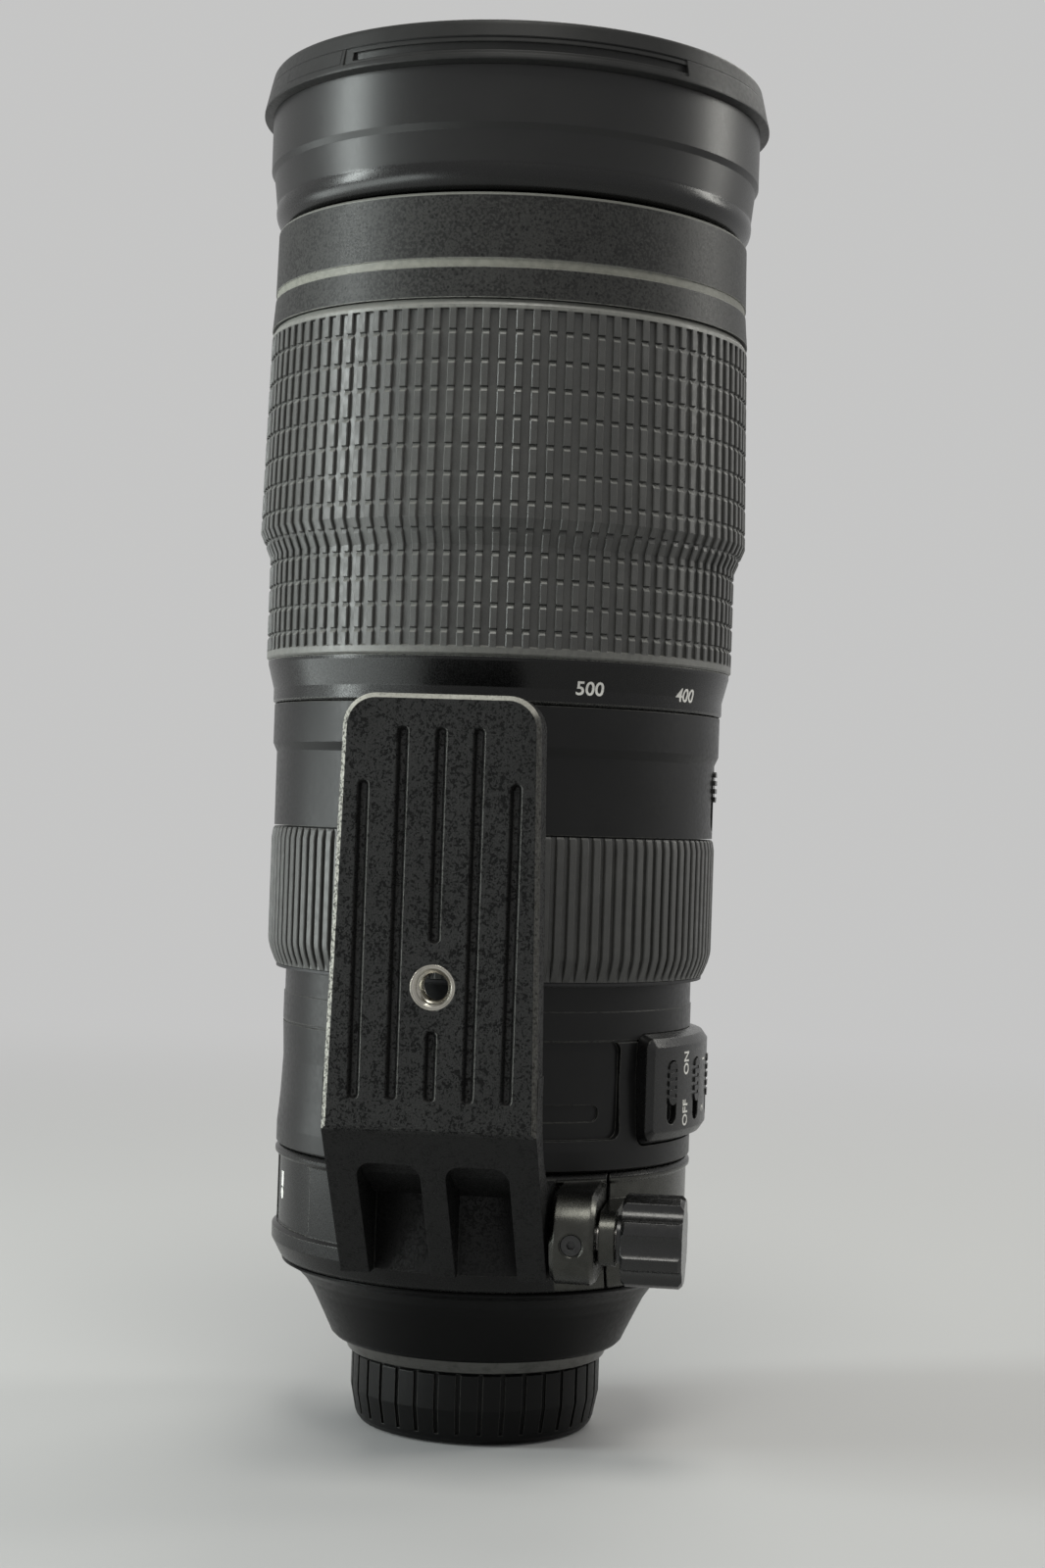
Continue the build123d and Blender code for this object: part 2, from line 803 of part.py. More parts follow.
# Zoom sleeve: smooth front, seat for the rubber, and the tapered band of the zoom scale
with BuildPart() as zoom_sleeve:
    with BuildSketch(Plane.XZ):
        outline(
            (sleeve_bore, zoom_rear),
            (scale_radius - edge_break, zoom_rear),
            (scale_radius, zoom_rear + edge_break),
            (scale_radius, zoom_rear + scale_flat),
            (sleeve_flange_radius, grip_rear - 2 * edge_break),
            (sleeve_flange_radius, grip_rear),
            (sleeve_seat_radius, grip_rear),
            (sleeve_seat_radius, grip_front),
            (sleeve_shoulder_radius, grip_front),
            (sleeve_front_radius + stripe_depth, stripe_low),
            (sleeve_front_radius, stripe_low),
            (sleeve_front_radius, stripe_low + stripe_width),
            (sleeve_front_radius + stripe_depth, stripe_low + stripe_width),
            (sleeve_front_radius, zoom_front - edge_break),
            (sleeve_front_radius - edge_break, zoom_front),
            (sleeve_bore, zoom_front),
        )
    revolve(axis=Axis.Z)
zoom_sleeve.part.label = "zoom_sleeve"
export_step(zoom_sleeve.part, "parts/zoom_sleeve.step")

# Rubber zoom grip: its ribs step down from the large front part to the small rear part
with BuildPart() as zoom_grip:
    grip_bore = sleeve_seat_radius + seat_gap
    rib_profile = (
        (grip_small_radius, grip_rear + grip_rim_rear),
        (grip_small_radius, grip_rear + grip_length * slope_low_share),
        (grip_big_radius, grip_rear + grip_length * slope_high_share),
        (grip_end_radius, grip_front - grip_rim_front),
    )
    with BuildSketch(Plane.XZ):
        outline(
            (grip_bore, grip_rear + seat_gap),
            (grip_small_radius - edge_break, grip_rear + seat_gap),
            (grip_small_radius, grip_rear + seat_gap + edge_break),
            *rib_profile,
            (grip_end_radius, grip_front - seat_gap),
            (grip_bore, grip_front - seat_gap),
        )
    revolve(axis=Axis.Z)
    with BuildSketch(section(0)):
        outline(
            (grip_big_radius + overrun, rib_profile[0][1]),
            *((radius - grip_groove_depth, height) for radius, height in rib_profile),
            (grip_big_radius + overrun, rib_profile[-1][1]),
        )
    cut_grooves(grip_groove_width, grip_big_radius, grip_groove_count)
zoom_grip.part.label = "zoom_grip"
export_step(zoom_grip.part, "parts/zoom_grip.step")

# Middle barrel: fixed between the zoom ring and the focus ring
with BuildPart() as middle_barrel:
    with BuildSketch(Plane.XZ):
        middle_step = zoom_rear - middle_front_length
        outline(
            (guide_radius + seat_gap, focus_front + slide_gap),
            (middle_radius, focus_front + slide_gap),
            (middle_radius, middle_step - middle_slope),
            (middle_front_radius, middle_step),
            (middle_front_radius, zoom_rear - slide_gap),
            (guide_radius + seat_gap, zoom_rear - slide_gap),
        )
    revolve(axis=Axis.Z)
    with BuildSketch(facing(lock_angle, middle_radius - lock_slot_depth, lock_slot_height)):
        SlotOverall(lock_slot_length, lock_slot_width, rotation=90)
    extrude(amount=lock_slot_depth + overrun, mode=Mode.SUBTRACT)
middle_barrel.part.label = "middle_barrel"
export_step(middle_barrel.part, "parts/middle_barrel.step")

# Zoom lock slider, drawn at the free end of its slot
with BuildPart() as zoom_lock_slider:
    lock_width = lock_slot_width - 2 * slide_gap
    lock_middle = lock_slot_height + (lock_slot_length - lock_length) / 2 - slide_gap
    lock_floor = middle_radius - lock_slot_depth + slide_gap
    with BuildSketch(facing(lock_angle, lock_floor, lock_middle)):
        SlotOverall(lock_width, lock_length)
    extrude(amount=middle_radius + lock_proud - lock_floor)
    with BuildSketch(facing(lock_angle, middle_radius + lock_proud, lock_middle)):
        with GridLocations(0, slider_rib_pitch, 1, lock_rib_count):
            Rectangle(lock_width, slider_rib_width)
    extrude(amount=-slider_rib_depth, mode=Mode.SUBTRACT)
zoom_lock_slider.part.label = "zoom_lock_slider"
export_step(zoom_lock_slider.part, "parts/zoom_lock_slider.step")

# Focus sleeve under the rubber
with BuildPart() as focus_sleeve:
    with BuildSketch(Plane.XZ):
        focus_bore = guide_radius + slide_gap
        outline(
            (focus_bore, focus_rear),
            (focus_sleeve_radius + focus_lip, focus_rear),
            (focus_sleeve_radius + focus_lip, focus_rear + focus_lip),
            (focus_sleeve_radius, focus_rear + focus_lip),
            (focus_sleeve_radius, focus_front),
            (focus_bore, focus_front),
        )
    revolve(axis=Axis.Z)
focus_sleeve.part.label = "focus_sleeve"
export_step(focus_sleeve.part, "parts/focus_sleeve.step")

# Rubber focus grip with plain ribs and a chamfered rear end
with BuildPart() as focus_grip:
    focus_grip_rear = focus_rear + focus_lip + seat_gap
    focus_grip_bore = focus_sleeve_radius + seat_gap
    focus_groove_rear = focus_grip_rear + focus_end_radius - focus_grip_bore
    focus_shoulder = focus_rear + focus_chamfer
    with BuildSketch(Plane.XZ):
        outline(
            (focus_grip_bore, focus_grip_rear),
            (focus_end_radius, focus_grip_rear),
            (focus_grip_radius, focus_shoulder),
            (focus_grip_radius, focus_front - edge_break),
            (focus_grip_radius - edge_break, focus_front),
            (focus_grip_bore, focus_front),
        )
    revolve(axis=Axis.Z)
    with BuildSketch(section(0)):
        outline(
            (focus_grip_radius + overrun, focus_groove_rear),
            (focus_end_radius, focus_groove_rear),
            (focus_grip_radius - focus_groove_depth, focus_shoulder),
            (focus_grip_radius - focus_groove_depth, focus_front - 2 * edge_break),
            (focus_grip_radius + overrun, focus_front - 2 * edge_break),
        )
    cut_grooves(focus_groove_width, focus_grip_radius, focus_groove_count)
focus_grip.part.label = "focus_grip"
export_step(focus_grip.part, "parts/focus_grip.step")

# Curved recesses with rounded corners, cut later from the rear barrel and the collar
recess_floor = rear_waist_radius - recess_depth
slot_end = recess_end - recess_slot_margin
recesses = {}
for recess_name, start, end, floor, low, height, corner in (
    ("plate", recess_start, recess_end, recess_floor, recess_low, recess_height, recess_corner),
    (
        "plate_slot",
        slot_end - recess_slot_span,
        slot_end,
        recess_floor - recess_slot_depth,
        recess_low + recess_slot_lift,
        recess_slot_height,
        recess_slot_height / 2 - seat_gap,
    ),
    (
        "panel_bed",
        panel_start,
        panel_end,
        panel_bed_radius,
        panel_low,
        panel_height,
        panel_corner + seat_gap,
    ),
    (
        "index_pad",
        pad_start,
        pad_end,
        collar_radius - pad_depth,
        pad_low,
        pad_high - pad_low,
        pad_corner,
    ),
):
    with BuildPart() as recess:
        with BuildSketch(section(start)):
            band(floor, collar_bead_radius + overrun, low, low + height)
        revolve(axis=Axis.Z, revolution_arc=end - start)
        corners = recess.edges().filter_by(GeomType.LINE).filter_by(Axis.Z, reverse=True)
        fillet(corners, radius=corner)
    recesses[recess_name] = recess.part

# Rear barrel: the shell behind the focus ring, with the seat that the collar turns on
with BuildPart() as rear_barrel:
    seat_rear = collar_rear - slide_gap
    barrel_front = focus_rear - slide_gap
    with BuildSketch(Plane.XZ):
        outline(
            (rear_seat_bore, seat_rear),
            (collar_seat_radius, seat_rear),
            (collar_seat_radius, rear_shoulder),
            (rear_swell_radius - edge_break, rear_shoulder),
            (rear_swell_radius, rear_shoulder + edge_break),
            (rear_swell_radius, collar_front + rear_length * swell_share),
            (rear_hip_radius, collar_front + rear_length * hip_share),
            (rear_waist_radius, collar_front + rear_length * waist_share),
            (rear_radius, seam_height - seam_width),
            (rear_radius - seam_depth, seam_height - seam_width),
            (rear_radius - seam_depth, seam_height),
            (rear_radius, seam_height),
            (rear_radius, band_rear),
            (band_radius, band_rear),
            (band_radius, barrel_front),
            (rear_bore, barrel_front),
            (rear_bore, rear_ledge_height),
            (rear_seat_bore, rear_ledge_height),
        )
    revolve(axis=Axis.Z)
    for recess_name in ("plate", "plate_slot", "panel_bed"):
        add(recesses[recess_name], mode=Mode.SUBTRACT)
    window_start = window_angle - window_span / 2
    window_high = window_low + window_height
    rebate_turn = degrees(window_rebate / rear_radius)
    rebate_floor = rear_waist_radius - window_rebate_depth
    with BuildSketch(section(window_start)):
        band(rear_bore - overrun, rear_radius + overrun, window_low, window_high)
    revolve(axis=Axis.Z, revolution_arc=window_span, mode=Mode.SUBTRACT)
    with BuildSketch(section(window_start - rebate_turn)):
        band(
            rebate_floor,
            rear_radius + overrun,
            window_low - window_rebate,
            window_high + window_rebate,
        )
    revolve(axis=Axis.Z, revolution_arc=window_span + 2 * rebate_turn, mode=Mode.SUBTRACT)
rear_barrel.part.label = "rear_barrel"
export_step(rear_barrel.part, "parts/rear_barrel.step")

# Clear window over the distance scale
with BuildPart() as distance_window:
    rim_turn = rebate_turn - degrees(seat_gap / rear_radius)
    with BuildSketch(section(window_start - rim_turn)):
        band(
            rebate_floor + seat_gap,
            rebate_floor + seat_gap + window_thickness,
            window_low - window_rebate + seat_gap,
            window_high + window_rebate - seat_gap,
        )
    revolve(axis=Axis.Z, revolution_arc=window_span + 2 * rim_turn)
distance_window.part.label = "distance_window"
export_step(distance_window.part, "parts/distance_window.step")

# Raised switch panel with sloping rims and a slot for each slider
panel_middle = (panel_start + panel_end) / 2
first_switch = panel_middle - switch_pitch * (switch_count - 1) / 2
switch_angles = [first_switch + switch_pitch * step for step in range(switch_count)]
with BuildPart() as switch_panel:
    panel_turn = degrees(seat_gap / panel_bed_radius)
    panel_base = panel_bed_radius + seat_gap
    with BuildSketch(section(panel_start + panel_turn)):
        outline(
            (panel_base, panel_low + seat_gap),
            (rear_radius, panel_low + seat_gap),
            (panel_radius, panel_low + panel_low_slope),
            (panel_radius, panel_high - panel_high_slope),
            (rear_radius, panel_high - seat_gap),
            (panel_base, panel_high - seat_gap),
        )
    revolve(axis=Axis.Z, revolution_arc=panel_end - panel_start - 2 * panel_turn)
    corners = switch_panel.edges().filter_by(GeomType.LINE).filter_by(Axis.Z, reverse=True)
    fillet(corners, radius=panel_corner)
    rims = switch_panel.edges().filter_by(Axis.Z).sort_by_distance((0, 0, panel_low))
    chamfer(rims[-2:], length=panel_side_break)
    for angle in switch_angles:
        with BuildSketch(facing(angle, panel_radius - switch_slot_depth, switch_slot_height)):
            SlotOverall(switch_slot_length, switch_slot_width, rotation=90)
        extrude(amount=switch_slot_depth + overrun, mode=Mode.SUBTRACT)
switch_panel.part.label = "switch_panel"
export_step(switch_panel.part, "parts/switch_panel.step")

# The four sliders, each drawn at the front end of its slot
slider_names = (
    "focus_mode_slider",
    "focus_limit_slider",
    "stabiliser_slider",
    "stabiliser_mode_slider",
)
for slider_name, angle in zip(slider_names, switch_angles):
    with BuildPart() as slider:
        slider_middle = switch_slot_height + (switch_slot_length - slider_length) / 2 - slide_gap
        slider_floor = panel_radius - switch_slot_depth + slide_gap
        with BuildSketch(facing(angle, slider_floor, slider_middle)):
            SlotOverall(slider_length, slider_width, rotation=90)
        extrude(amount=panel_radius + slider_proud - slider_floor)
        with BuildSketch(facing(angle, panel_radius + slider_proud, slider_middle)):
            with GridLocations(0, slider_rib_pitch, 1, slider_rib_count):
                Rectangle(slider_width, slider_rib_width)
        extrude(amount=-slider_rib_depth, mode=Mode.SUBTRACT)
    slider.part.label = slider_name
    export_step(slider.part, "parts/" + slider_name + ".step")

# Tail cone: flares to the collar and rounds over to the mount
with BuildPart() as rear_cone:
    cone_profile = [
        (
            between(cone_end_radius, cone_top_radius, radius_share),
            between(cone_height, collar_rear, height_share),
        )
        for radius_share, height_share in cone_shares
    ]
    with BuildSketch(Plane.XZ):
        cone_end = (cone_end_radius, cone_height)
        outline(
            (rear_seat_bore, seat_rear),
            (cone_top_radius - edge_break, seat_rear),
            (cone_top_radius, seat_rear - slide_gap),
            *cone_profile,
            *reversed(round_over(cone_end, cone_profile[-1])),
            cone_end,
            (cone_bore, cone_height),
            (cone_bore, cone_height + cone_wall),
            (
                between(cone_bore, rear_seat_bore, cone_hollow_radius_share),
                between(cone_height, collar_rear, cone_hollow_height_share),
            ),
        )
    revolve(axis=Axis.Z)
    with BuildSketch(Plane.XY.offset(cone_height)):
        with PolarLocations(mount_screw_circle, mount_screw_count):
            Circle(mount_screw_shank + seat_gap)
    extrude(amount=flange_height + mount_screw_length + seat_gap - cone_height, mode=Mode.SUBTRACT)
rear_cone.part.label = "rear_cone"
export_step(rear_cone.part, "parts/rear_cone.step")

# Metal bayonet mount, with its three tabs under the cap
with BuildPart() as mount_flange:
    with BuildSketch(Plane.XZ):
        outline(
            (mount_bore, mount_throat_end),
            (mount_throat_radius, mount_throat_end),
            (mount_throat_radius, flange_height),
            (mount_radius - turned_break, flange_height),
            (mount_radius, flange_height + turned_break),
            (mount_top_radius, cone_height),
            (mount_bore, cone_height),
        )
    revolve(axis=Axis.Z)
    for start in spaced(tab_count, tab_start):
        with BuildSketch(section(start)):
            band(mount_throat_radius - turned_break, tab_radius, tab_low, tab_high)
        revolve(axis=Axis.Z, revolution_arc=tab_span)
    for hole_radius, depth in (
        (mount_screw_radius + seat_gap, mount_screw_head),
        (mount_screw_shank + seat_gap, mount_height),
    ):
        with BuildSketch(Plane.XY.offset(flange_height)):
            with PolarLocations(mount_screw_circle, mount_screw_count):
                Circle(hole_radius)
        extrude(amount=depth, mode=Mode.SUBTRACT)
mount_flange.part.label = "mount_flange"
export_step(mount_flange.part, "parts/mount_flange.step")

# Screws of the mount, flush with its face
with BuildPart() as mount_screws:
    for screw_radius, length in (
        (mount_screw_radius, mount_screw_head - seat_gap),
        (mount_screw_shank, mount_screw_length),
    ):
        with BuildSketch(Plane.XY.offset(flange_height)):
            with PolarLocations(mount_screw_circle, mount_screw_count):
                Circle(screw_radius)
        extrude(amount=length)
mount_screws.part.label = "mount_screws"
export_step(mount_screws.part, "parts/mount_screws.step")

# Block with the electrical contacts inside the mount
with BuildPart() as contact_block:
    with BuildSketch(section(contact_start)):
        contact_radius = mount_bore - seat_gap
        contact_low = mount_throat_end + contact_lift
        band(
            contact_radius - contact_width,
            contact_radius,
            contact_low,
            contact_low + contact_length,
        )
    revolve(axis=Axis.Z, revolution_arc=contact_span)
contact_block.part.label = "contact_block"
export_step(contact_block.part, "parts/contact_block.step")

# Rear cap: twists off the three tabs of the mount
with BuildPart() as rear_cap:
    with BuildSketch(Plane.XZ):
        cap_foot = (cap_foot_radius, 0)
        cap_side = (cap_low_radius, cap_round_height)
        outline(
            (0, 0),
            cap_foot,
            *round_over(cap_foot, cap_side),
            cap_side,
            (cap_top_radius, cap_height / 2),
            (cap_top_radius, cap_height - edge_break),
            (cap_top_radius - edge_break, cap_height),
            (cap_bore, cap_height),
            (cap_bore, cap_floor),
            (0, cap_floor),
        )
    revolve(axis=Axis.Z)
    for start in spaced(tab_count, tab_start + lug_margin):
        with BuildSketch(section(start)):
            band(cap_bore - cap_lug_width, cap_bore + seat_gap, cap_lug_low, cap_lug_high)
        revolve(axis=Axis.Z, revolution_arc=tab_span - 2 * lug_margin)
    with BuildSketch(section(0)):
        outline(
            (cap_top_radius + overrun, cap_round_height),
            (cap_low_radius - cap_groove_depth, cap_round_height),
            (cap_top_radius - cap_groove_depth, cap_height / 2),
            (cap_top_radius - cap_groove_depth, cap_height + overrun),
            (cap_top_radius + overrun, cap_height + overrun),
        )
    cut_grooves(cap_groove_width, cap_top_radius, cap_groove_count)
rear_cap.part.label = "rear_cap"
export_step(rear_cap.part, "parts/rear_cap.step")

# Two pockets that lighten the neck of the foot, with a wall left at the front
with BuildPart() as neck_pockets:
    with BuildSketch(facing(0, 0, (pocket_top + pocket_low) / 2)):
        with GridLocations(pocket_outer + pocket_half_gap, 0, 2, 1):
            RectangleRounded(
                pocket_outer - pocket_half_gap,
                pocket_top - pocket_low,
                pocket_corner,
            )
    extrude(amount=foot_height + overrun)
    with BuildSketch(section(0)):
        outline(
            (0, pocket_low),
            (foot_height + overrun, pocket_low),
            (foot_height + overrun, pocket_top),
            (between(neck_root, foot_height, pocket_high_share), pocket_top),
            (between(neck_root, foot_height, pocket_low_share), pocket_top - pocket_corner),
            (pocket_back, neck_front - pocket_corner),
            (0, neck_front - pocket_corner),
        )
    extrude(amount=pocket_outer, both=True, mode=Mode.INTERSECT)
    with BuildSketch(Plane.XY.offset(pocket_low)):
        Circle(pocket_back)
    extrude(amount=foot_rear - pocket_low, mode=Mode.SUBTRACT)

# Two sizes of tapered groove, standing on the foot's face and pointing into it
with BuildPart() as outer_groove:
    with BuildSketch(facing(0, foot_height, (groove_front_outer + groove_rear) / 2)):
        SlotOverall(groove_front_outer - groove_rear, groove_width, rotation=90)
    extrude(amount=-groove_depth, taper=groove_taper)
with BuildPart() as inner_groove:
    with BuildSketch(facing(0, foot_height, (groove_front_inner + groove_rear) / 2)):
        SlotOverall(groove_front_inner - groove_rear, groove_width, rotation=90)
    extrude(amount=-groove_depth, taper=groove_taper)

# The two ears that the clamp screw pulls together, run inwards to meet the ring
with BuildPart() as clamp_ears:
    for start, length, radius in (
        (ear_start, ear_length, ear_radius),
        (nut_ear_start, nut_ear_length, nut_ear_radius),
    ):
        with BuildSketch(Plane.YZ.offset(start)):
            with Locations((-clamp_axis, clamp_height)):
                Circle(radius)
            band(-clamp_axis, ear_reach - clamp_axis, clamp_height - radius, clamp_height + radius)
        extrude(amount=length)
    rims = clamp_ears.edges().filter_by(GeomType.CIRCLE)
    chamfer(rims.filter_by(lambda rim: rim.radius > nut_ear_radius + ear_break), length=ear_break)

# Plate of the foot, bevelled round the face that meets the tripod head
with BuildPart() as foot_plate:
    with BuildSketch(facing(0, foot_height - foot_thickness, 0)):
        outline(
            (-foot_half_rear, foot_rear),
            (foot_half_rear, foot_rear),
            (foot_half_front, foot_front),
            (-foot_half_front, foot_front),
        )
        fillet(vertices().group_by(Axis.Y)[-1], foot_corner)
    extrude(amount=foot_thickness)
    chamfer(foot_plate.faces().sort_by(Axis.Y)[0].edges(), length=foot_bevel)

# Tripod collar: ring, neck, foot and clamp ears are one casting
with BuildPart() as tripod_collar:
    with BuildSketch(Plane.XZ):
        outline(
            (collar_bore, collar_rear),
            (collar_tail_radius - collar_break, collar_rear),
            (collar_tail_radius, collar_rear + collar_break),
            (collar_bead_radius, collar_rear + bead_low),
            (collar_bead_radius, collar_rear + bead_high),
            (collar_radius, collar_rear + bead_high + collar_break),
            (collar_radius, collar_lip_height - collar_break),
            (collar_lip_radius, collar_lip_height),
            (collar_lip_radius, collar_front - collar_break),
            (collar_lip_radius - collar_break, collar_front),
            (collar_bore, collar_front),
        )
    revolve(axis=Axis.Z)
    with BuildSketch(section(0)):
        with BuildLine():
            toe = (neck_root, neck_toe)
            under = (foot_height - foot_thickness, neck_under)
            front = (neck_root, neck_front)
            sweep_point = (
                between(neck_root, foot_height - foot_thickness, neck_curve_share),
                between(neck_front, neck_under, neck_curve_rise_share),
            )
            Polyline(
                front,
                (collar_bore - neck_inset, neck_front),
                (collar_bore - neck_inset, neck_toe),
                toe,
                (foot_height - foot_bevel, foot_rear),
                (foot_height - foot_bevel, neck_under),
                under,
            )
            ThreePointArc(under, sweep_point, front)
        make_face()
    extrude(amount=foot_half_rear, both=True)
    add(clamp_ears.part)
    add(foot_plate.part)
    with BuildSketch(Plane.XY.offset(collar_rear)):
        Circle(collar_bore)
    extrude(amount=collar_length, mode=Mode.SUBTRACT)
    with BuildSketch(Plane.XY.offset(lining_low)):
        Circle(collar_bore + lining_thickness + seat_gap)
    extrude(amount=lining_high - lining_low, mode=Mode.SUBTRACT)
    add(neck_pockets.part, mode=Mode.SUBTRACT)
    with Locations((-2 * groove_pitch, 0, 0), (2 * groove_pitch, 0, 0)):
        add(outer_groove.part, mode=Mode.SUBTRACT)
    with Locations((-groove_pitch, 0, 0), (groove_pitch, 0, 0)):
        add(inner_groove.part, mode=Mode.SUBTRACT)
    for low, high in (
        (groove_rear, bush_height - groove_break),
        (bush_height + groove_break, groove_front_inner),
    ):
        with BuildSketch(facing(0, foot_height, (low + high) / 2)):
            SlotOverall(high - low, groove_width, rotation=90)
        extrude(amount=-groove_depth, taper=groove_taper, mode=Mode.SUBTRACT)
    with BuildSketch(facing(0, 0, bush_height)):
        Circle(bush_radius)
    extrude(amount=foot_height + overrun, mode=Mode.SUBTRACT)
    with BuildSketch(Plane.YZ.offset(ear_start - overrun)):
        with Locations((-clamp_axis, clamp_height)):
            Circle(clamp_screw_radius + pin_gap)
    extrude(amount=knob_start - ear_start + overrun, mode=Mode.SUBTRACT)
    ear_middle = ear_start + ear_length / 2
    ear_mouth = clamp_axis + sqrt(ear_radius**2 - set_screw_drop**2)
    for radius, depth in (
        (set_screw_radius + seat_gap, clamp_axis),
        (set_screw_radius + set_screw_recess, ear_mouth - set_screw_sunk),
    ):
        with BuildSketch(facing(0, depth, set_screw_height)):
            with Locations((ear_middle, 0)):
                Circle(radius)
        extrude(amount=ear_radius + overrun, mode=Mode.SUBTRACT)
    with BuildSketch(Plane.XY.offset(collar_rear)):
        with Locations((ear_end + split_width / 2, -clamp_axis)):
            Rectangle(split_width, clamp_axis)
    extrude(amount=collar_length, mode=Mode.SUBTRACT)
    add(recesses["index_pad"], mode=Mode.SUBTRACT)
tripod_collar.part.label = "tripod_collar"
export_step(tripod_collar.part, "parts/tripod_collar.step")

# Felt lining between the collar and the rear barrel, split with the collar
with BuildPart() as collar_lining:
    with BuildSketch(Plane.XY.offset(lining_low + seat_gap)):
        Circle(collar_bore + lining_thickness)
        Circle(collar_bore, mode=Mode.SUBTRACT)
        with Locations((ear_end + split_width / 2, -clamp_axis)):
            Rectangle(split_width, clamp_axis, mode=Mode.SUBTRACT)
    extrude(amount=lining_high - lining_low - 2 * seat_gap)
collar_lining.part.label = "collar_lining"
export_step(collar_lining.part, "parts/collar_lining.step")

# Threaded bush for the tripod screw
with BuildPart() as foot_bush:
    with BuildSketch(facing(0, foot_height - foot_thickness, bush_height)):
        Circle(bush_radius - seat_gap / 2)
        Circle(bush_bore, mode=Mode.SUBTRACT)
    extrude(amount=foot_thickness)
    rims = foot_bush.edges().filter_by(GeomType.CIRCLE).group_by(Axis.Y)[0]
    chamfer(rims.sort_by(SortBy.RADIUS)[0], length=bush_break)
foot_bush.part.label = "foot_bush"
export_step(foot_bush.part, "parts/foot_bush.step")

# Set screw that stops the clamp screw from coming out
with BuildPart() as clamp_set_screw:
    with BuildSketch(facing(0, ear_mouth - set_screw_sunk, set_screw_height)):
        with Locations((ear_middle, 0)):
            Circle(set_screw_radius)
    extrude(amount=-set_screw_length)
    with BuildSketch(facing(0, ear_mouth - set_screw_sunk, set_screw_height)):
        with Locations((ear_middle, 0)):
            RegularPolygon(set_screw_socket, set_screw_sides)
    extrude(amount=-set_screw_socket_depth, mode=Mode.SUBTRACT)
clamp_set_screw.part.label = "clamp_set_screw"
export_step(clamp_set_screw.part, "parts/clamp_set_screw.step")

# Knob of the clamp, with finger flutes
with BuildPart() as clamp_knob:
    with BuildSketch(Plane.YZ.offset(knob_start)):
        with Locations((-clamp_axis, clamp_height)):
            Circle(knob_radius)
    extrude(amount=knob_length)
    chamfer(clamp_knob.edges().filter_by(GeomType.CIRCLE), length=knob_break)
    with BuildSketch(Plane.YZ.offset(knob_start - overrun)):
        with Locations((-clamp_axis, clamp_height)):
            flute_circle = knob_radius + knob_flute_radius - knob_flute_depth
            with PolarLocations(flute_circle, knob_flute_count):
                Circle(knob_flute_radius)
    extrude(amount=knob_length + 2 * overrun, mode=Mode.SUBTRACT)
    with BuildSketch(Plane.YZ.offset(knob_hub_start)):
        with Locations((-clamp_axis, clamp_height)):
            Circle(knob_hub_radius)
    extrude(amount=knob_start - knob_hub_start)
    with BuildSketch(Plane.YZ.offset(knob_hub_start)):
        with Locations((-clamp_axis, clamp_height)):
            Circle(clamp_screw_radius + seat_gap / 2)
    extrude(amount=screw_end + seat_gap - knob_hub_start, mode=Mode.SUBTRACT)
clamp_knob.part.label = "clamp_knob"
export_step(clamp_knob.part, "parts/clamp_knob.step")

# Screw that the knob turns in the two ears
with BuildPart() as clamp_screw:
    with BuildSketch(Plane.YZ.offset(ear_start)):
        with Locations((-clamp_axis, clamp_height)):
            Circle(clamp_screw_radius)
    extrude(amount=screw_end - ear_start)
clamp_screw.part.label = "clamp_screw"
export_step(clamp_screw.part, "parts/clamp_screw.step")

# Sliding cell of the variator, the group that changes the focal length
with BuildPart() as variator_cell:
    with BuildSketch(Plane.XZ):
        variator_front = variator_rear + variator_length
        outline(
            (variator_bore - cell_ledge, variator_rear),
            (slide_radius, variator_rear),
            (slide_radius, variator_front),
            (variator_bore, variator_front),
            (variator_bore, variator_rear + variator_seat),
            (variator_bore - cell_ledge, variator_rear + variator_seat),
        )
    revolve(axis=Axis.Z)
variator_cell.part.label = "variator_cell"
export_step(variator_cell.part, "parts/variator_cell.step")

# Glass of the variator
with BuildPart() as variator_lens:
    with BuildSketch(Plane.XY.offset(variator_rear + variator_seat)):
        Circle(variator_bore - seat_gap)
    extrude(amount=variator_glass)
variator_lens.part.label = "variator_lens"
export_step(variator_lens.part, "parts/variator_lens.step")

# Sliding cell of the focus group
with BuildPart() as focus_cell:
    with BuildSketch(Plane.XZ):
        focus_cell_front = focus_cell_rear + focus_cell_length
        outline(
            (focus_cell_bore - cell_ledge, focus_cell_rear),
            (slide_radius, focus_cell_rear),
            (slide_radius, focus_cell_front),
            (focus_cell_bore, focus_cell_front),
            (focus_cell_bore, focus_cell_rear + focus_seat),
            (focus_cell_bore - cell_ledge, focus_cell_rear + focus_seat),
        )
    revolve(axis=Axis.Z)
focus_cell.part.label = "focus_cell"
export_step(focus_cell.part, "parts/focus_cell.step")

# Glass of the focus group
with BuildPart() as focus_lens:
    with BuildSketch(Plane.XY.offset(focus_cell_rear + focus_seat)):
        Circle(focus_cell_bore - seat_gap)
    extrude(amount=focus_glass)
focus_lens.part.label = "focus_lens"
export_step(focus_lens.part, "parts/focus_lens.step")

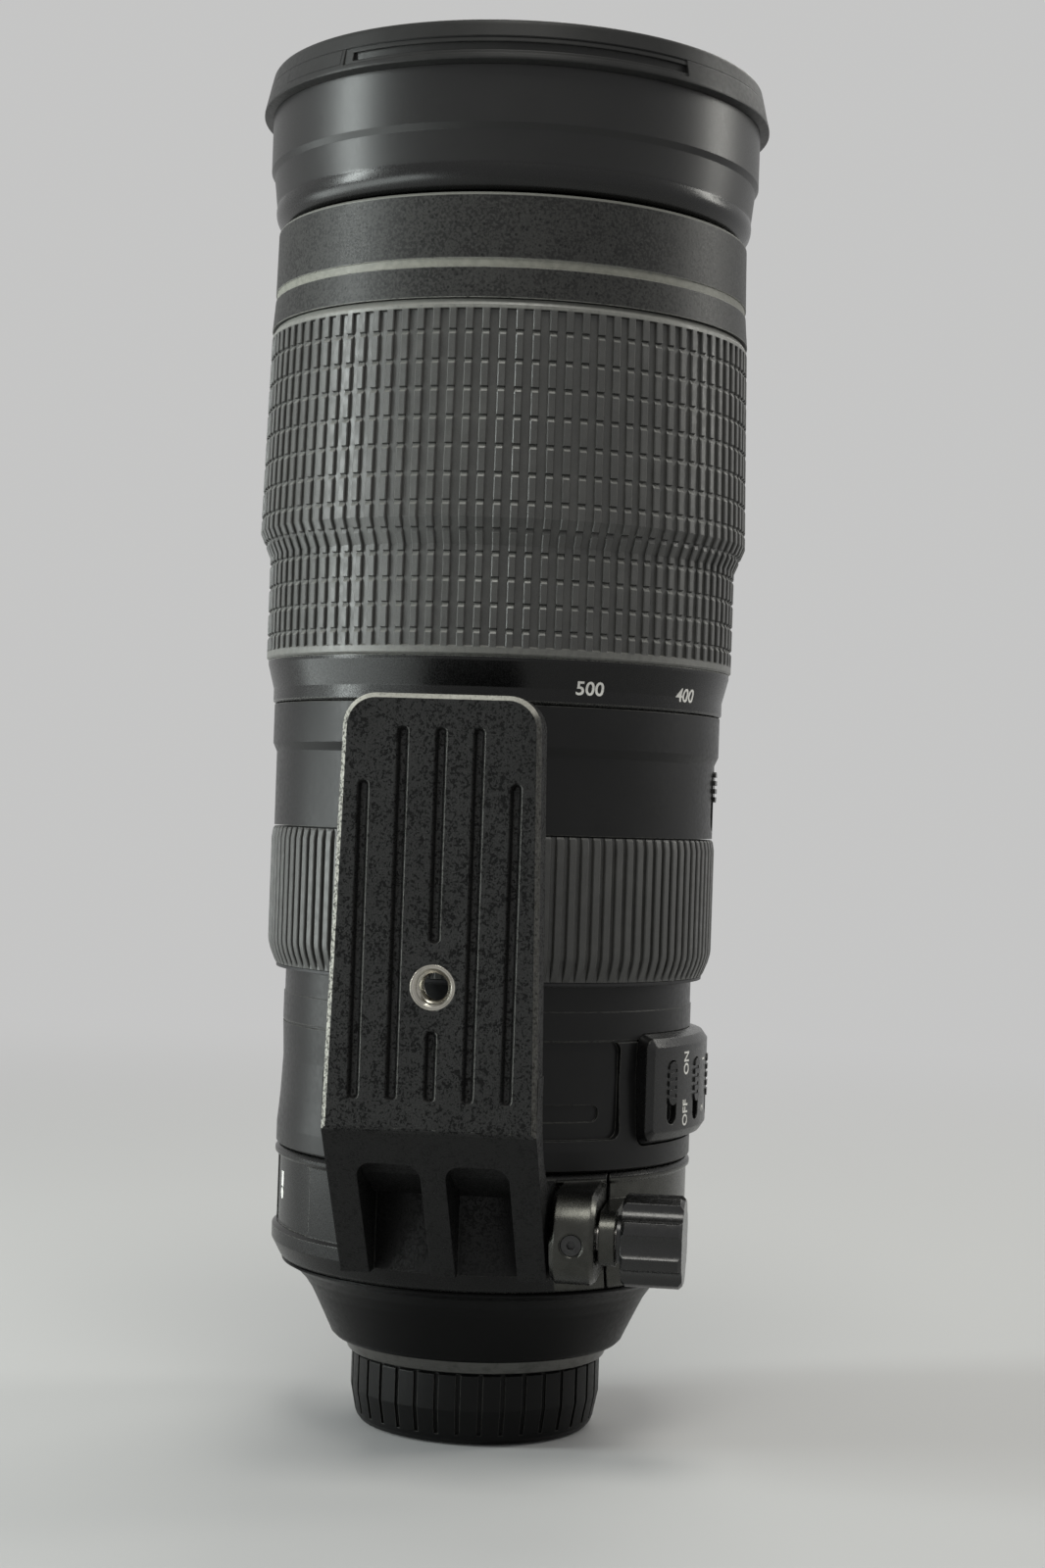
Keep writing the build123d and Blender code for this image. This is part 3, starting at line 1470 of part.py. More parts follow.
# Stabiliser unit, standing on the ledge of the rear barrel
with BuildPart() as stabiliser_unit:
    with BuildSketch(Plane.XZ):
        unit_ledge = rear_ledge_height + unit_flange
        outline(
            (unit_bore - cell_ledge, rear_ledge_height),
            (rear_bore - seat_gap, rear_ledge_height),
            (rear_bore - seat_gap, unit_ledge),
            (unit_radius, unit_ledge),
            (unit_radius, rear_ledge_height + unit_length),
            (unit_bore, rear_ledge_height + unit_length),
            (unit_bore, unit_ledge),
            (unit_bore - cell_ledge, unit_ledge),
        )
    revolve(axis=Axis.Z)
stabiliser_unit.part.label = "stabiliser_unit"
export_step(stabiliser_unit.part, "parts/stabiliser_unit.step")

# Glass of the stabiliser
with BuildPart() as stabiliser_lens:
    with BuildSketch(Plane.XY.offset(unit_ledge)):
        Circle(unit_bore - seat_gap)
    extrude(amount=unit_glass)
stabiliser_lens.part.label = "stabiliser_lens"
export_step(stabiliser_lens.part, "parts/stabiliser_lens.step")

# Drum with the distance scale, turning under the window
with BuildPart() as distance_drum:
    with BuildSketch(Plane.XY.offset(unit_ledge + slide_gap)):
        Circle(drum_bore + drum_thickness)
        Circle(drum_bore, mode=Mode.SUBTRACT)
    extrude(amount=drum_length)
distance_drum.part.label = "distance_drum"
export_step(distance_drum.part, "parts/distance_drum.step")

# Ring motor that turns the focus cam
with BuildPart() as focus_motor:
    with BuildSketch(Plane.XY.offset(motor_rear)):
        Circle(rear_bore - seat_gap)
        Circle(motor_bore, mode=Mode.SUBTRACT)
    extrude(amount=motor_length)
focus_motor.part.label = "focus_motor"
export_step(focus_motor.part, "parts/focus_motor.step")

# Diaphragm unit, fixed under the ledge
with BuildPart() as diaphragm_unit:
    with BuildSketch(Plane.XY.offset(iris_rear)):
        Circle(rear_seat_bore - seat_gap)
        Circle(iris_bore, mode=Mode.SUBTRACT)
    extrude(amount=iris_length)
diaphragm_unit.part.label = "diaphragm_unit"
export_step(diaphragm_unit.part, "parts/diaphragm_unit.step")

# Ring-shaped circuit board behind the diaphragm
with BuildPart() as main_board:
    with BuildSketch(Plane.XY.offset(board_rear)):
        Circle(rear_seat_bore - seat_gap)
        Circle(board_bore, mode=Mode.SUBTRACT)
    extrude(amount=board_thickness)
main_board.part.label = "main_board"
export_step(main_board.part, "parts/main_board.step")

# Tube of the rear group, standing on the mount
with BuildPart() as tail_cell:
    with BuildSketch(Plane.XZ):
        outline(
            (tail_glass_radius - cell_ledge, cone_height),
            (tail_cell_radius, cone_height),
            (tail_cell_radius, iris_rear),
            (tail_glass_radius + seat_gap, iris_rear),
            (tail_glass_radius + seat_gap, tail_glass_rear),
            (tail_glass_radius - cell_ledge, tail_glass_rear),
        )
    revolve(axis=Axis.Z)
tail_cell.part.label = "tail_cell"
export_step(tail_cell.part, "parts/tail_cell.step")

# Last glass of the rear group
with BuildPart() as tail_element:
    with BuildSketch(Plane.XY.offset(tail_glass_rear)):
        Circle(tail_glass_radius)
    extrude(amount=tail_glass)
tail_element.part.label = "tail_element"
export_step(tail_element.part, "parts/tail_element.step")
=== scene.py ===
"""Looks of the telephoto zoom lens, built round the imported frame.

Blender's units are metres. Sizes typed in this script are millimetres, but for the camera, the floor
and the lamps. Angles round the lens count in degrees from the tripod foot (-Y) towards the knob (+X).
"""

import json
import math

import bmesh
import bpy
from mathutils import Matrix, Vector


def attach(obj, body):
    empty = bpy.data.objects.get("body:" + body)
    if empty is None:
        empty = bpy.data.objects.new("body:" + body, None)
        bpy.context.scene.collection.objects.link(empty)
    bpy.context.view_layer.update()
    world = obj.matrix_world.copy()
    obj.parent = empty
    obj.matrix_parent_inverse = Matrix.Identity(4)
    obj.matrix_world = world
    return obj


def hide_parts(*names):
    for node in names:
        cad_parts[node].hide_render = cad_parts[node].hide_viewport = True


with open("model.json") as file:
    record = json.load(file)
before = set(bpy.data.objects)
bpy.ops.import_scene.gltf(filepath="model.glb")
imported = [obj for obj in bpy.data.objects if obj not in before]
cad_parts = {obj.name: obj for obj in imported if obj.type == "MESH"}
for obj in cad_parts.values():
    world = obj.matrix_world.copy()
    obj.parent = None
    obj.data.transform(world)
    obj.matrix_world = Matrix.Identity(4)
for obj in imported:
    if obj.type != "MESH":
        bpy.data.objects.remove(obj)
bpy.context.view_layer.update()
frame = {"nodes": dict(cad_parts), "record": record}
nodes = frame["nodes"]
scene = bpy.context.scene
MM = 0.001


# ---------------------------------------------------------------- materials


def shade(colour, factor):
    return tuple(part * factor for part in colour)


class Finish:
    """One procedural material on a principled shader, with its pattern fixed to the piece."""

    def __init__(self, name, colour, rough, metal=0.0, specular=0.5, round_edge=0.25):
        self.material = bpy.data.materials.new(name)
        self.material.use_nodes = True
        self.tree = self.material.node_tree
        self.shader = self.tree.nodes["Principled BSDF"]
        self.set("Base Color", (*colour, 1))
        self.set("Roughness", rough)
        self.set("Metallic", metal)
        self.set("Specular IOR Level", specular)
        self.coordinates = self.add("ShaderNodeTexCoord")
        self.place = self.coordinates.outputs["Object"]
        self.normal = None
        if round_edge:
            edge = self.add("ShaderNodeBevel")
            edge.samples = 4
            edge.inputs["Radius"].default_value = round_edge * MM
            self.normal = edge.outputs["Normal"]
            self.link(self.normal, self.shader.inputs["Normal"])

    def set(self, socket, value):
        self.shader.inputs[socket].default_value = value

    def add(self, kind):
        return self.tree.nodes.new(kind)

    def link(self, source, target):
        self.tree.links.new(source, target)

    def fed(self, socket):
        """What already feeds a socket of the shader."""
        return self.shader.inputs[socket].links[0].from_socket

    def noise(self, size, detail=2.0, rough=0.5, place=None):
        """Noise with grains of about that many millimetres."""
        node = self.add("ShaderNodeTexNoise")
        node.inputs["Scale"].default_value = 1 / (size * MM)
        node.inputs["Detail"].default_value = detail
        node.inputs["Roughness"].default_value = rough
        self.link(place or self.place, node.inputs["Vector"])
        return node.outputs["Fac"]

    def cells(self, size, randomness=1.0, feature="F1"):
        """Distance inside cells of about that many millimetres."""
        node = self.add("ShaderNodeTexVoronoi")
        node.feature = feature
        node.inputs["Scale"].default_value = 1 / (size * MM)
        node.inputs["Randomness"].default_value = randomness
        self.link(self.place, node.inputs["Vector"])
        return node.outputs["Distance"]

    def span(self, value, low, high, out_low=0.0, out_high=1.0):
        """The value, taken smoothly from low..high to out_low..out_high and held at the ends."""
        node = self.add("ShaderNodeMapRange")
        node.interpolation_type = "SMOOTHSTEP"
        limits = {"From Min": low, "From Max": high, "To Min": out_low, "To Max": out_high}
        for socket, number in limits.items():
            node.inputs[socket].default_value = number
        self.link(value, node.inputs["Value"])
        return node.outputs["Result"]

    def step(self, place, low, high):
        """0 at low millimetres and 1 at high, along one of the axes."""
        return self.span(place, low * MM, high * MM)

    def maths(self, operation, *values):
        node = self.add("ShaderNodeMath")
        node.operation = operation
        for index, value in enumerate(values):
            if isinstance(value, (int, float)):
                node.inputs[index].default_value = value
            else:
                self.link(value, node.inputs[index])
        return node.outputs["Value"]

    def times(self, first, *more):
        for value in more:
            first = self.maths("MULTIPLY", first, value)
        return first

    def most(self, first, *more):
        for value in more:
            first = self.maths("MAXIMUM", first, value)
        return first

    def opposite(self, share):
        return self.maths("SUBTRACT", 1.0, share)

    def length(self, first, second):
        """Distance from an axis, from the two coordinates across it."""
        squares = self.maths("ADD", self.maths("POWER", first, 2.0), self.maths("POWER", second, 2.0))
        return self.maths("SQRT", squares)

    def mix(self, share, first, second):
        """Colour between two colours or colour sockets."""
        node = self.add("ShaderNodeMix")
        node.data_type = "RGBA"
        self.link(share, node.inputs["Factor"])
        for socket, value in ((6, first), (7, second)):
            if isinstance(value, tuple):
                node.inputs[socket].default_value = (*value, 1)
            else:
                self.link(value, node.inputs[socket])
        return node.outputs[2]

    def tones(self, share, colour, dark, light):
        """One colour, darker where the share is 0 and lighter where it is 1."""
        return self.mix(share, shade(colour, dark), shade(colour, light))

    def paint(self, colour):
        self.link(colour, self.shader.inputs["Base Color"])

    def polish(self, rough):
        self.link(rough, self.shader.inputs["Roughness"])

    def bump(self, height, depth):
        """Raises the surface by the height's value times a depth in millimetres."""
        node = self.add("ShaderNodeBump")
        node.inputs["Strength"].default_value = 1.0
        node.inputs["Distance"].default_value = depth * MM
        self.link(height, node.inputs["Height"])
        if self.normal is not None:
            self.link(self.normal, node.inputs["Normal"])
        self.normal = node.outputs["Normal"]
        self.link(self.normal, self.shader.inputs["Normal"])

    def parts(self, vector):
        node = self.add("ShaderNodeSeparateXYZ")
        self.link(vector, node.inputs["Vector"])
        return node.outputs["X"], node.outputs["Y"], node.outputs["Z"]

    def axes(self):
        return self.parts(self.place)

    def facing(self):
        """The surface's own direction, in the part's axes."""
        return self.parts(self.coordinates.outputs["Normal"])

    def worn(self, reach, low=0.02, high=0.2):
        """Share from 0 to 1 that is 1 on sharp edges, from how far a rounded normal leans."""
        wide = self.add("ShaderNodeBevel")
        wide.samples = 6
        wide.inputs["Radius"].default_value = reach * MM
        plain = self.add("ShaderNodeNewGeometry")
        lean = self.add("ShaderNodeVectorMath")
        lean.operation = "DOT_PRODUCT"
        self.link(wide.outputs["Normal"], lean.inputs[0])
        self.link(plain.outputs["Normal"], lean.inputs[1])
        return self.span(self.opposite(lean.outputs["Value"]), low, high)

    def chipped(self):
        """Sharp edges, broken up into small patches."""
        return self.times(self.worn(0.4, 0.03, 0.18), self.span(self.noise(0.8, 4, 0.7), 0.32, 0.55))


# Colours of the real surfaces
BODY = (0.0055, 0.0055, 0.0055)
FRONT = (0.0080, 0.0080, 0.0079)
RIM = (0.017, 0.017, 0.0165)
SLEEVE = (0.024, 0.024, 0.0225)
STRIPE = (0.205, 0.204, 0.175)
RUBBER = (0.043, 0.043, 0.040)
FOOT = (0.021, 0.021, 0.0205)
PANEL = (0.008, 0.008, 0.008)
BOARD = (0.03, 0.10, 0.05)
PRINT = (0.74, 0.73, 0.69)
PALE = (0.56, 0.56, 0.557)
CHIPPED = (0.24, 0.24, 0.215)

# Heights, radii and places of the part's own features, in millimetres
TAIL_END = 255.4
PAD_LOW, PAD_HIGH = 276.0, 279.15
PAD_LEFT, PAD_RIGHT = -53.5, -33.4
SLEEVE_TOP = 249.3
STRIPE_LOW, STRIPE_HIGH = 235.0, 236.7
SCALE_HIGH = 159.4
GRIP_LOW, GRIP_HIGH = 161.1, 226.9
RING_RADIUS = 44.6
EAR_START, EAR_TOP = 20.6, 57.0
FOOT_LOW, FOOT_FACE = 69.0, -72.0
GROOVE_PITCH, GROOVE_HALF = 7.2, 1.15
BUSH_HEIGHT = 96.2


def moulded(
    name, colour, rough, grain=0.35, depth=0.012, spread=0.05, specular=0.24, round_edge=0.25, rubbed=0.0
):
    """Plain moulded or sprayed surface: fine grain, slow changes of tone and polish, rubbed edges."""
    finish = Finish(name, colour, rough, specular=specular, round_edge=round_edge)
    slow = finish.noise(14, 3)
    fine = finish.noise(grain, 3)
    mottle = finish.maths("MULTIPLY_ADD", fine, 0.35, finish.times(slow, 0.65))
    tone = finish.tones(finish.span(mottle, 0.35, 0.65), colour, 0.82, 1.2)
    if rubbed:
        tone = finish.mix(finish.times(finish.chipped(), rubbed), tone, CHIPPED)
    finish.paint(tone)
    finish.polish(finish.span(finish.noise(0.9, 4), 0.3, 0.7, rough - spread, rough + spread))
    finish.bump(fine, depth)
    return finish


def speckled(name, colour, rough):
    """Sprayed satin with small dark and light specks, in denser and thinner patches."""
    finish = Finish(name, colour, rough, specular=0.3)
    peel = finish.noise(0.35, 3, 0.6)
    specks = finish.noise(0.6, 3, 0.6)
    crowd = finish.span(finish.noise(7.0, 3, 0.6), 0.35, 0.65, -0.06, 0.03)
    dark = finish.span(finish.maths("ADD", specks, crowd), 0.49, 0.42)
    dots = finish.span(finish.cells(1.6), 0.22, 0.15)
    light = finish.span(specks, 0.60, 0.68)
    tone = finish.tones(finish.span(peel, 0.3, 0.7), colour, 0.75, 1.3)
    tone = finish.mix(finish.times(dark, 0.8), tone, shade(colour, 0.15))
    tone = finish.mix(dots, tone, shade(colour, 0.03))
    tone = finish.mix(finish.times(light, 0.5), tone, shade(colour, 1.9))
    finish.paint(tone)
    finish.polish(finish.span(peel, 0.3, 0.7, rough - 0.06, rough + 0.08))
    finish.bump(peel, 0.015)
    return finish


def rubber(name, colour, rough, round_edge=0.22):
    """Dull ribbed rubber, a little dusty, with rubbed edges."""
    finish = Finish(name, colour, rough, specular=0.6, round_edge=round_edge)
    finish.set("Sheen Weight", 0.08)
    finish.set("Sheen Roughness", 0.5)
    finish.set("Sheen Tint", (0.75, 0.74, 0.72, 1))
    fine = finish.noise(0.22, 3, 0.6)
    dust = finish.span(finish.noise(6.0, 4, 0.65), 0.42, 0.72)
    tone = finish.tones(finish.span(fine, 0.3, 0.7), colour, 0.8, 1.2)
    tone = finish.mix(finish.times(dust, 0.35), tone, shade(colour, 1.9))
    rub = finish.times(finish.worn(0.3), finish.span(finish.noise(1.4, 3), 0.35, 0.6))
    tone = finish.mix(finish.times(rub, 0.55), tone, shade(colour, 2.4))
    finish.paint(tone)
    finish.polish(finish.span(finish.noise(2.0, 3), 0.3, 0.7, rough - 0.08, rough + 0.08))
    finish.bump(fine, 0.02)
    return finish


def crackle(name, colour, rough):
    """Thick crackle paint: fine lumps and scattered black pits of several sizes."""
    warp_size = 0.8
    finish = Finish(name, colour, rough, specular=0.2, round_edge=0.4)
    shift = finish.add("ShaderNodeTexNoise")
    shift.inputs["Scale"].default_value = 1 / (warp_size * MM)
    finish.link(finish.place, shift.inputs["Vector"])
    warp = finish.add("ShaderNodeVectorMath")
    warp.operation = "MULTIPLY_ADD"
    finish.link(shift.outputs["Color"], warp.inputs[0])
    warp.inputs[1].default_value = (warp_size * MM,) * 3
    finish.link(finish.place, warp.inputs[2])
    bent = warp.outputs["Vector"]
    small = finish.noise(0.32, 3, 0.65)
    crowd = finish.span(finish.noise(3.2, 2), 0.35, 0.65, -0.035, 0.035)
    large = finish.span(finish.maths("ADD", finish.noise(0.75, 2, 0.55, place=bent), crowd), 0.42, 0.39)
    medium = finish.span(finish.maths("ADD", finish.noise(0.42, 2, 0.5), crowd), 0.41, 0.38)
    pit = finish.most(large, medium)
    tone = finish.tones(finish.span(small, 0.3, 0.7), colour, 0.45, 1.6)
    slow = finish.span(finish.noise(12, 3), 0.35, 0.65)
    tone = finish.mix(finish.times(slow, 0.3), tone, shade(colour, 0.6))
    finish.paint(finish.mix(pit, tone, shade(colour, 0.02)))
    polish = finish.span(small, 0.3, 0.7, rough - 0.08, rough + 0.12)
    finish.polish(finish.maths("MULTIPLY_ADD", pit, 0.4, polish))
    finish.bump(small, 0.10)
    finish.bump(finish.opposite(pit), 0.10)
    return finish


def turned(name, colour, rough, centre, axis, depth=0.004, metal=1.0):
    """Metal turned on a lathe: fine rings round the given axis through the given point."""
    finish = Finish(name, colour, rough, metal=metal, round_edge=0.15)
    away = finish.add("ShaderNodeVectorMath")
    away.operation = "SUBTRACT"
    finish.link(finish.place, away.inputs[0])
    away.inputs[1].default_value = tuple(part * MM for part in centre)
    across = dict(zip("XYZ", finish.parts(away.outputs["Vector"])))
    along = across.pop(axis)
    rings = finish.maths("ADD", finish.length(*across.values()), finish.times(along, 0.83))
    lines = finish.add("ShaderNodeTexNoise")
    lines.noise_dimensions = "1D"
    lines.inputs["Scale"].default_value = 1 / (0.07 * MM)
    lines.inputs["Detail"].default_value = 3
    finish.link(rings, lines.inputs["W"])
    marks = lines.outputs["Fac"]
    tone = finish.tones(finish.span(marks, 0.3, 0.7), colour, 0.86, 1.08)
    tone = finish.mix(finish.span(finish.noise(2.2, 4), 0.45, 0.75), tone, shade(colour, 0.72))
    finish.paint(tone)
    finish.polish(finish.span(marks, 0.3, 0.7, rough - 0.07, rough + 0.09))
    finish.bump(marks, depth)
    return finish


def glass(name, tint, film):
    """Clear lens glass with a thin coating, in nanometres, that tints what it reflects."""
    finish = Finish(name, tint, 0.02, round_edge=0)
    finish.set("Transmission Weight", 1.0)
    finish.set("IOR", 1.52)
    finish.set("Thin Film Thickness", film)
    finish.set("Thin Film IOR", 1.38)
    finish.paint(finish.tones(finish.span(finish.noise(30, 2), 0.3, 0.7), tint, 0.97, 1.0))
    finish.polish(finish.span(finish.noise(12, 3), 0.3, 0.7, 0.008, 0.03))
    return finish


def front_barrel_finish():
    """Satin shell whose rounded tail is polished."""
    finish = Finish("front_barrel_satin", FRONT, 0.36, specular=0.4)
    tail = finish.step(finish.axes()[2], TAIL_END + 0.5, TAIL_END - 0.4)
    fine = finish.noise(0.3, 3)
    tone = finish.tones(finish.span(finish.noise(14, 3), 0.35, 0.65), FRONT, 0.88, 1.12)
    finish.paint(finish.mix(tail, tone, (0.004, 0.004, 0.004)))
    finish.polish(finish.maths("MULTIPLY_ADD", tail, -0.10, finish.span(fine, 0.3, 0.7, 0.32, 0.40)))
    finish.bump(fine, 0.004)
    return finish


def rim_finish():
    """Satin rim with a moulding line round it and the outline of a small pad."""
    finish = moulded("front_rim_satin", RIM, 0.42, grain=0.3, depth=0.008, round_edge=0.4)
    x, y, height = finish.axes()
    angle = finish.times(finish.maths("ARCTAN2", x, finish.times(y, -1.0)), 180 / math.pi)
    line_width, side_width = 0.17 * MM, 0.22

    def line(value, middle, width):
        gap = finish.maths("ABSOLUTE", finish.maths("SUBTRACT", value, middle))
        return finish.span(gap, width, width * 0.45)

    def inside(value, low, high):
        return finish.times(finish.maths("GREATER_THAN", value, low), finish.maths("LESS_THAN", value, high))

    parting = line(height, PAD_HIGH * MM, line_width)
    sides = finish.most(line(angle, PAD_LEFT, side_width), line(angle, PAD_RIGHT, side_width))
    sides = finish.times(sides, inside(height, PAD_LOW * MM, PAD_HIGH * MM))
    foot = finish.times(line(height, PAD_LOW * MM, line_width), inside(angle, PAD_LEFT, PAD_RIGHT))
    lines = finish.most(parting, finish.most(sides, foot))
    tone = finish.tones(finish.span(finish.noise(14, 3), 0.35, 0.65), RIM, 0.88, 1.14)
    finish.paint(finish.mix(finish.times(lines, 0.75), tone, shade(RIM, 0.2)))
    finish.bump(finish.opposite(lines), 0.14)
    return finish


def sleeve_finish():
    """Speckled sleeve with a pale stripe in its groove, rubbed edges, a painted highlight along its top edge
    and a glossy scale band.
    """
    finish = speckled("zoom_sleeve_speckled", SLEEVE, 0.46)
    height = finish.axes()[2]
    stripe = finish.times(
        finish.step(height, STRIPE_LOW - 0.1, STRIPE_LOW + 0.1),
        finish.step(height, STRIPE_HIGH + 0.1, STRIPE_HIGH - 0.1),
    )
    band = finish.step(height, SCALE_HIGH + 0.6, SCALE_HIGH)
    # Painted highlight along the sleeve's top edge
    brim_highlight = finish.step(height, SLEEVE_TOP - 0.3, SLEEVE_TOP - 0.1)
    soft = finish.span(finish.noise(1.2, 3), 0.3, 0.7)
    wear = finish.times(finish.worn(0.45, 0.03, 0.15), finish.span(finish.noise(0.9, 4, 0.7), 0.30, 0.50))
    tone = finish.mix(band, finish.fed("Base Color"), finish.tones(soft, BODY, 0.6, 0.85))
    tone = finish.mix(stripe, tone, finish.tones(soft, STRIPE, 0.88, 1.1))
    tone = finish.mix(finish.times(wear, 0.7), tone, (0.30, 0.30, 0.27))
    finish.paint(finish.mix(finish.times(brim_highlight, 0.7), tone, (0.20, 0.20, 0.18)))
    finish.polish(finish.maths("MULTIPLY_ADD", band, -0.20, finish.fed("Roughness")))
    return finish


def foot_paint(finish, coarse, x, y, height, on_foot):
    """The foot's crackle paint with worn bevels painted pale as a highlight on the top and left, painted shade
    in its grooves, a painted highlight on the right edge of each groove, and painted shade on the yoke below
    it.
    """
    across, _, up = finish.facing()
    front = finish.step(y, FOOT_FACE + 1.1, FOOT_FACE + 0.95)
    patches = finish.noise(0.55, 4, 0.7)
    # Pale bevels: partly rubbed wear, partly a painted highlight, strong on the up-facing top bevel and the
    # left side, faint on the right
    top = finish.times(finish.span(up, 0.2, 0.45), finish.span(patches, 0.3, 0.5, 0.5, 0.95))
    left = finish.times(finish.span(across, -0.3, -0.5), finish.span(patches, 0.42, 0.54, 0.1, 0.9))
    right = finish.times(finish.span(across, 0.3, 0.5), finish.span(patches, 0.35, 0.6, 0.04, 0.16))
    border = finish.most(
        finish.step(finish.maths("ABSOLUTE", x), 17.2, 17.5),
        finish.step(height, 146.0, 146.4),
    )
    rubbed = finish.times(finish.most(top, finish.most(left, right)), on_foot, front, border)
    # Painted shade darkens the floors of the grooves
    groove_shade = finish.step(y, FOOT_FACE + 0.25, FOOT_FACE + 0.5)
    groove_shade = finish.times(groove_shade, finish.opposite(border), front, on_foot)
    coarse = finish.mix(finish.times(groove_shade, 0.75), coarse, shade(FOOT, 0.1))
    coarse = finish.mix(rubbed, coarse, (0.42, 0.41, 0.365))

    # The phase is a half on the right edge of every groove, where a pale line is painted as a highlight on the
    # lit groove wall
    phase = finish.maths("MULTIPLY_ADD", x, 1 / (GROOVE_PITCH * MM), 10.5 - GROOVE_HALF / GROOVE_PITCH)
    phase = finish.maths("SUBTRACT", finish.maths("FRACT", phase), 0.5)
    line = finish.span(finish.maths("ABSOLUTE", phase), 0.065, 0.035)
    line = finish.times(line, finish.worn(0.35, 0.04, 0.14))
    line = finish.times(line, finish.step(y, FOOT_FACE + 0.7, FOOT_FACE + 0.4), on_foot)
    line = finish.times(line, finish.span(patches, 0.3, 0.55, 0.3, 0.75))
    coarse = finish.mix(line, coarse, (0.34, 0.34, 0.31))
    # Painted shade darkens the paint on the yoke below the foot
    return finish.mix(finish.opposite(on_foot), coarse, shade(FOOT, 0.28))


def collar_finish():
    """Crackle paint on the foot and the yoke, satin on the ring, and bare satin metal on the ears."""
    finish = crackle("collar_crackle", FOOT, 0.34)
    bumps = [node for node in finish.tree.nodes if node.bl_idname == "ShaderNodeBump"]
    x, y, height = finish.axes()
    on_foot = finish.step(height, FOOT_LOW - 0.2, FOOT_LOW + 0.2)
    coarse = foot_paint(finish, finish.fed("Base Color"), x, y, height, on_foot)
    near = finish.step(finish.length(x, y), RING_RADIUS + 1.2, RING_RADIUS)
    ears = finish.times(
        finish.step(x, EAR_START - 0.2, EAR_START + 0.2),
        finish.step(height, EAR_TOP, EAR_TOP - 0.2),
    )
    smooth = finish.most(near, ears)
    soft = finish.span(finish.noise(3.0, 3), 0.3, 0.7)
    satin = finish.tones(soft, BODY, 0.85, 1.15)
    satin = finish.mix(finish.times(finish.chipped(), 0.45), satin, CHIPPED)
    satin = finish.mix(ears, satin, finish.mix(soft, (0.055, 0.055, 0.05), (0.07, 0.07, 0.064)))
    finish.link(ears, finish.shader.inputs["Metallic"])
    finish.paint(finish.mix(smooth, coarse, satin))
    coarse_polish = finish.times(finish.fed("Roughness"), finish.opposite(smooth))
    smooth_polish = finish.times(smooth, finish.span(finish.noise(0.4, 3), 0.3, 0.7, 0.24, 0.31))
    finish.polish(finish.maths("ADD", coarse_polish, smooth_polish))
    relief = finish.opposite(finish.times(smooth, 0.95))
    for bump in bumps:
        finish.link(relief, bump.inputs["Strength"])
    return finish


def zoom_rubber_finish():
    """Zoom rubber with a painted highlight on its smooth lips and on the up-facing ramps of its notches, and
    painted shade on the down-facing walls of the notches.
    """
    finish = rubber("zoom_rubber", RUBBER, 0.44, round_edge=0.1)
    height = finish.axes()[2]
    up = finish.facing()[2]
    # Painted highlight on the up-facing ramps of the notches
    ramp = finish.span(up, 0.38, 0.5)
    # Painted shade on the down-facing walls of the notches
    wall = finish.span(up, -0.6, -0.75)
    # Painted highlight on the smooth lips at both ends of the grip, broken into patches
    top = finish.step(height, GRIP_HIGH - 0.2, GRIP_HIGH + 0.3)
    bottom = finish.step(height, GRIP_LOW + 0.2, GRIP_LOW - 0.2)
    lip_highlight = finish.most(top, finish.times(bottom, 0.6))
    lip_highlight = finish.times(lip_highlight, finish.span(finish.noise(1.2, 4, 0.7), 0.3, 0.6, 0.45, 0.8))
    tone = finish.mix(finish.times(ramp, 0.8), finish.fed("Base Color"), (0.15, 0.15, 0.138))
    tone = finish.mix(finish.times(wall, 0.85), tone, shade(RUBBER, 0.15))
    finish.paint(finish.mix(lip_highlight, tone, (0.20, 0.20, 0.18)))
    return finish


def felt_finish():
    finish = moulded("felt", (0.014, 0.014, 0.014), 0.9, grain=0.15, depth=0.08, specular=0.2)
    finish.set("Sheen Weight", 0.4)
    return finish


def board_finish():
    """Green board with pale tracks along the edges of its cells."""
    finish = moulded("circuit_board", BOARD, 0.45, grain=0.4)
    tracks = finish.span(finish.cells(2.4, 0.6, "DISTANCE_TO_EDGE"), 0.10, 0.06)
    finish.paint(finish.mix(tracks, BOARD, (0.09, 0.22, 0.12)))
    return finish


def smooth_shell(name, colour, rough, **more):
    """Moulded surface with the fine, shallow grain of the outer shells."""
    return moulded(name, colour, rough, grain=0.3, depth=0.004, **more)


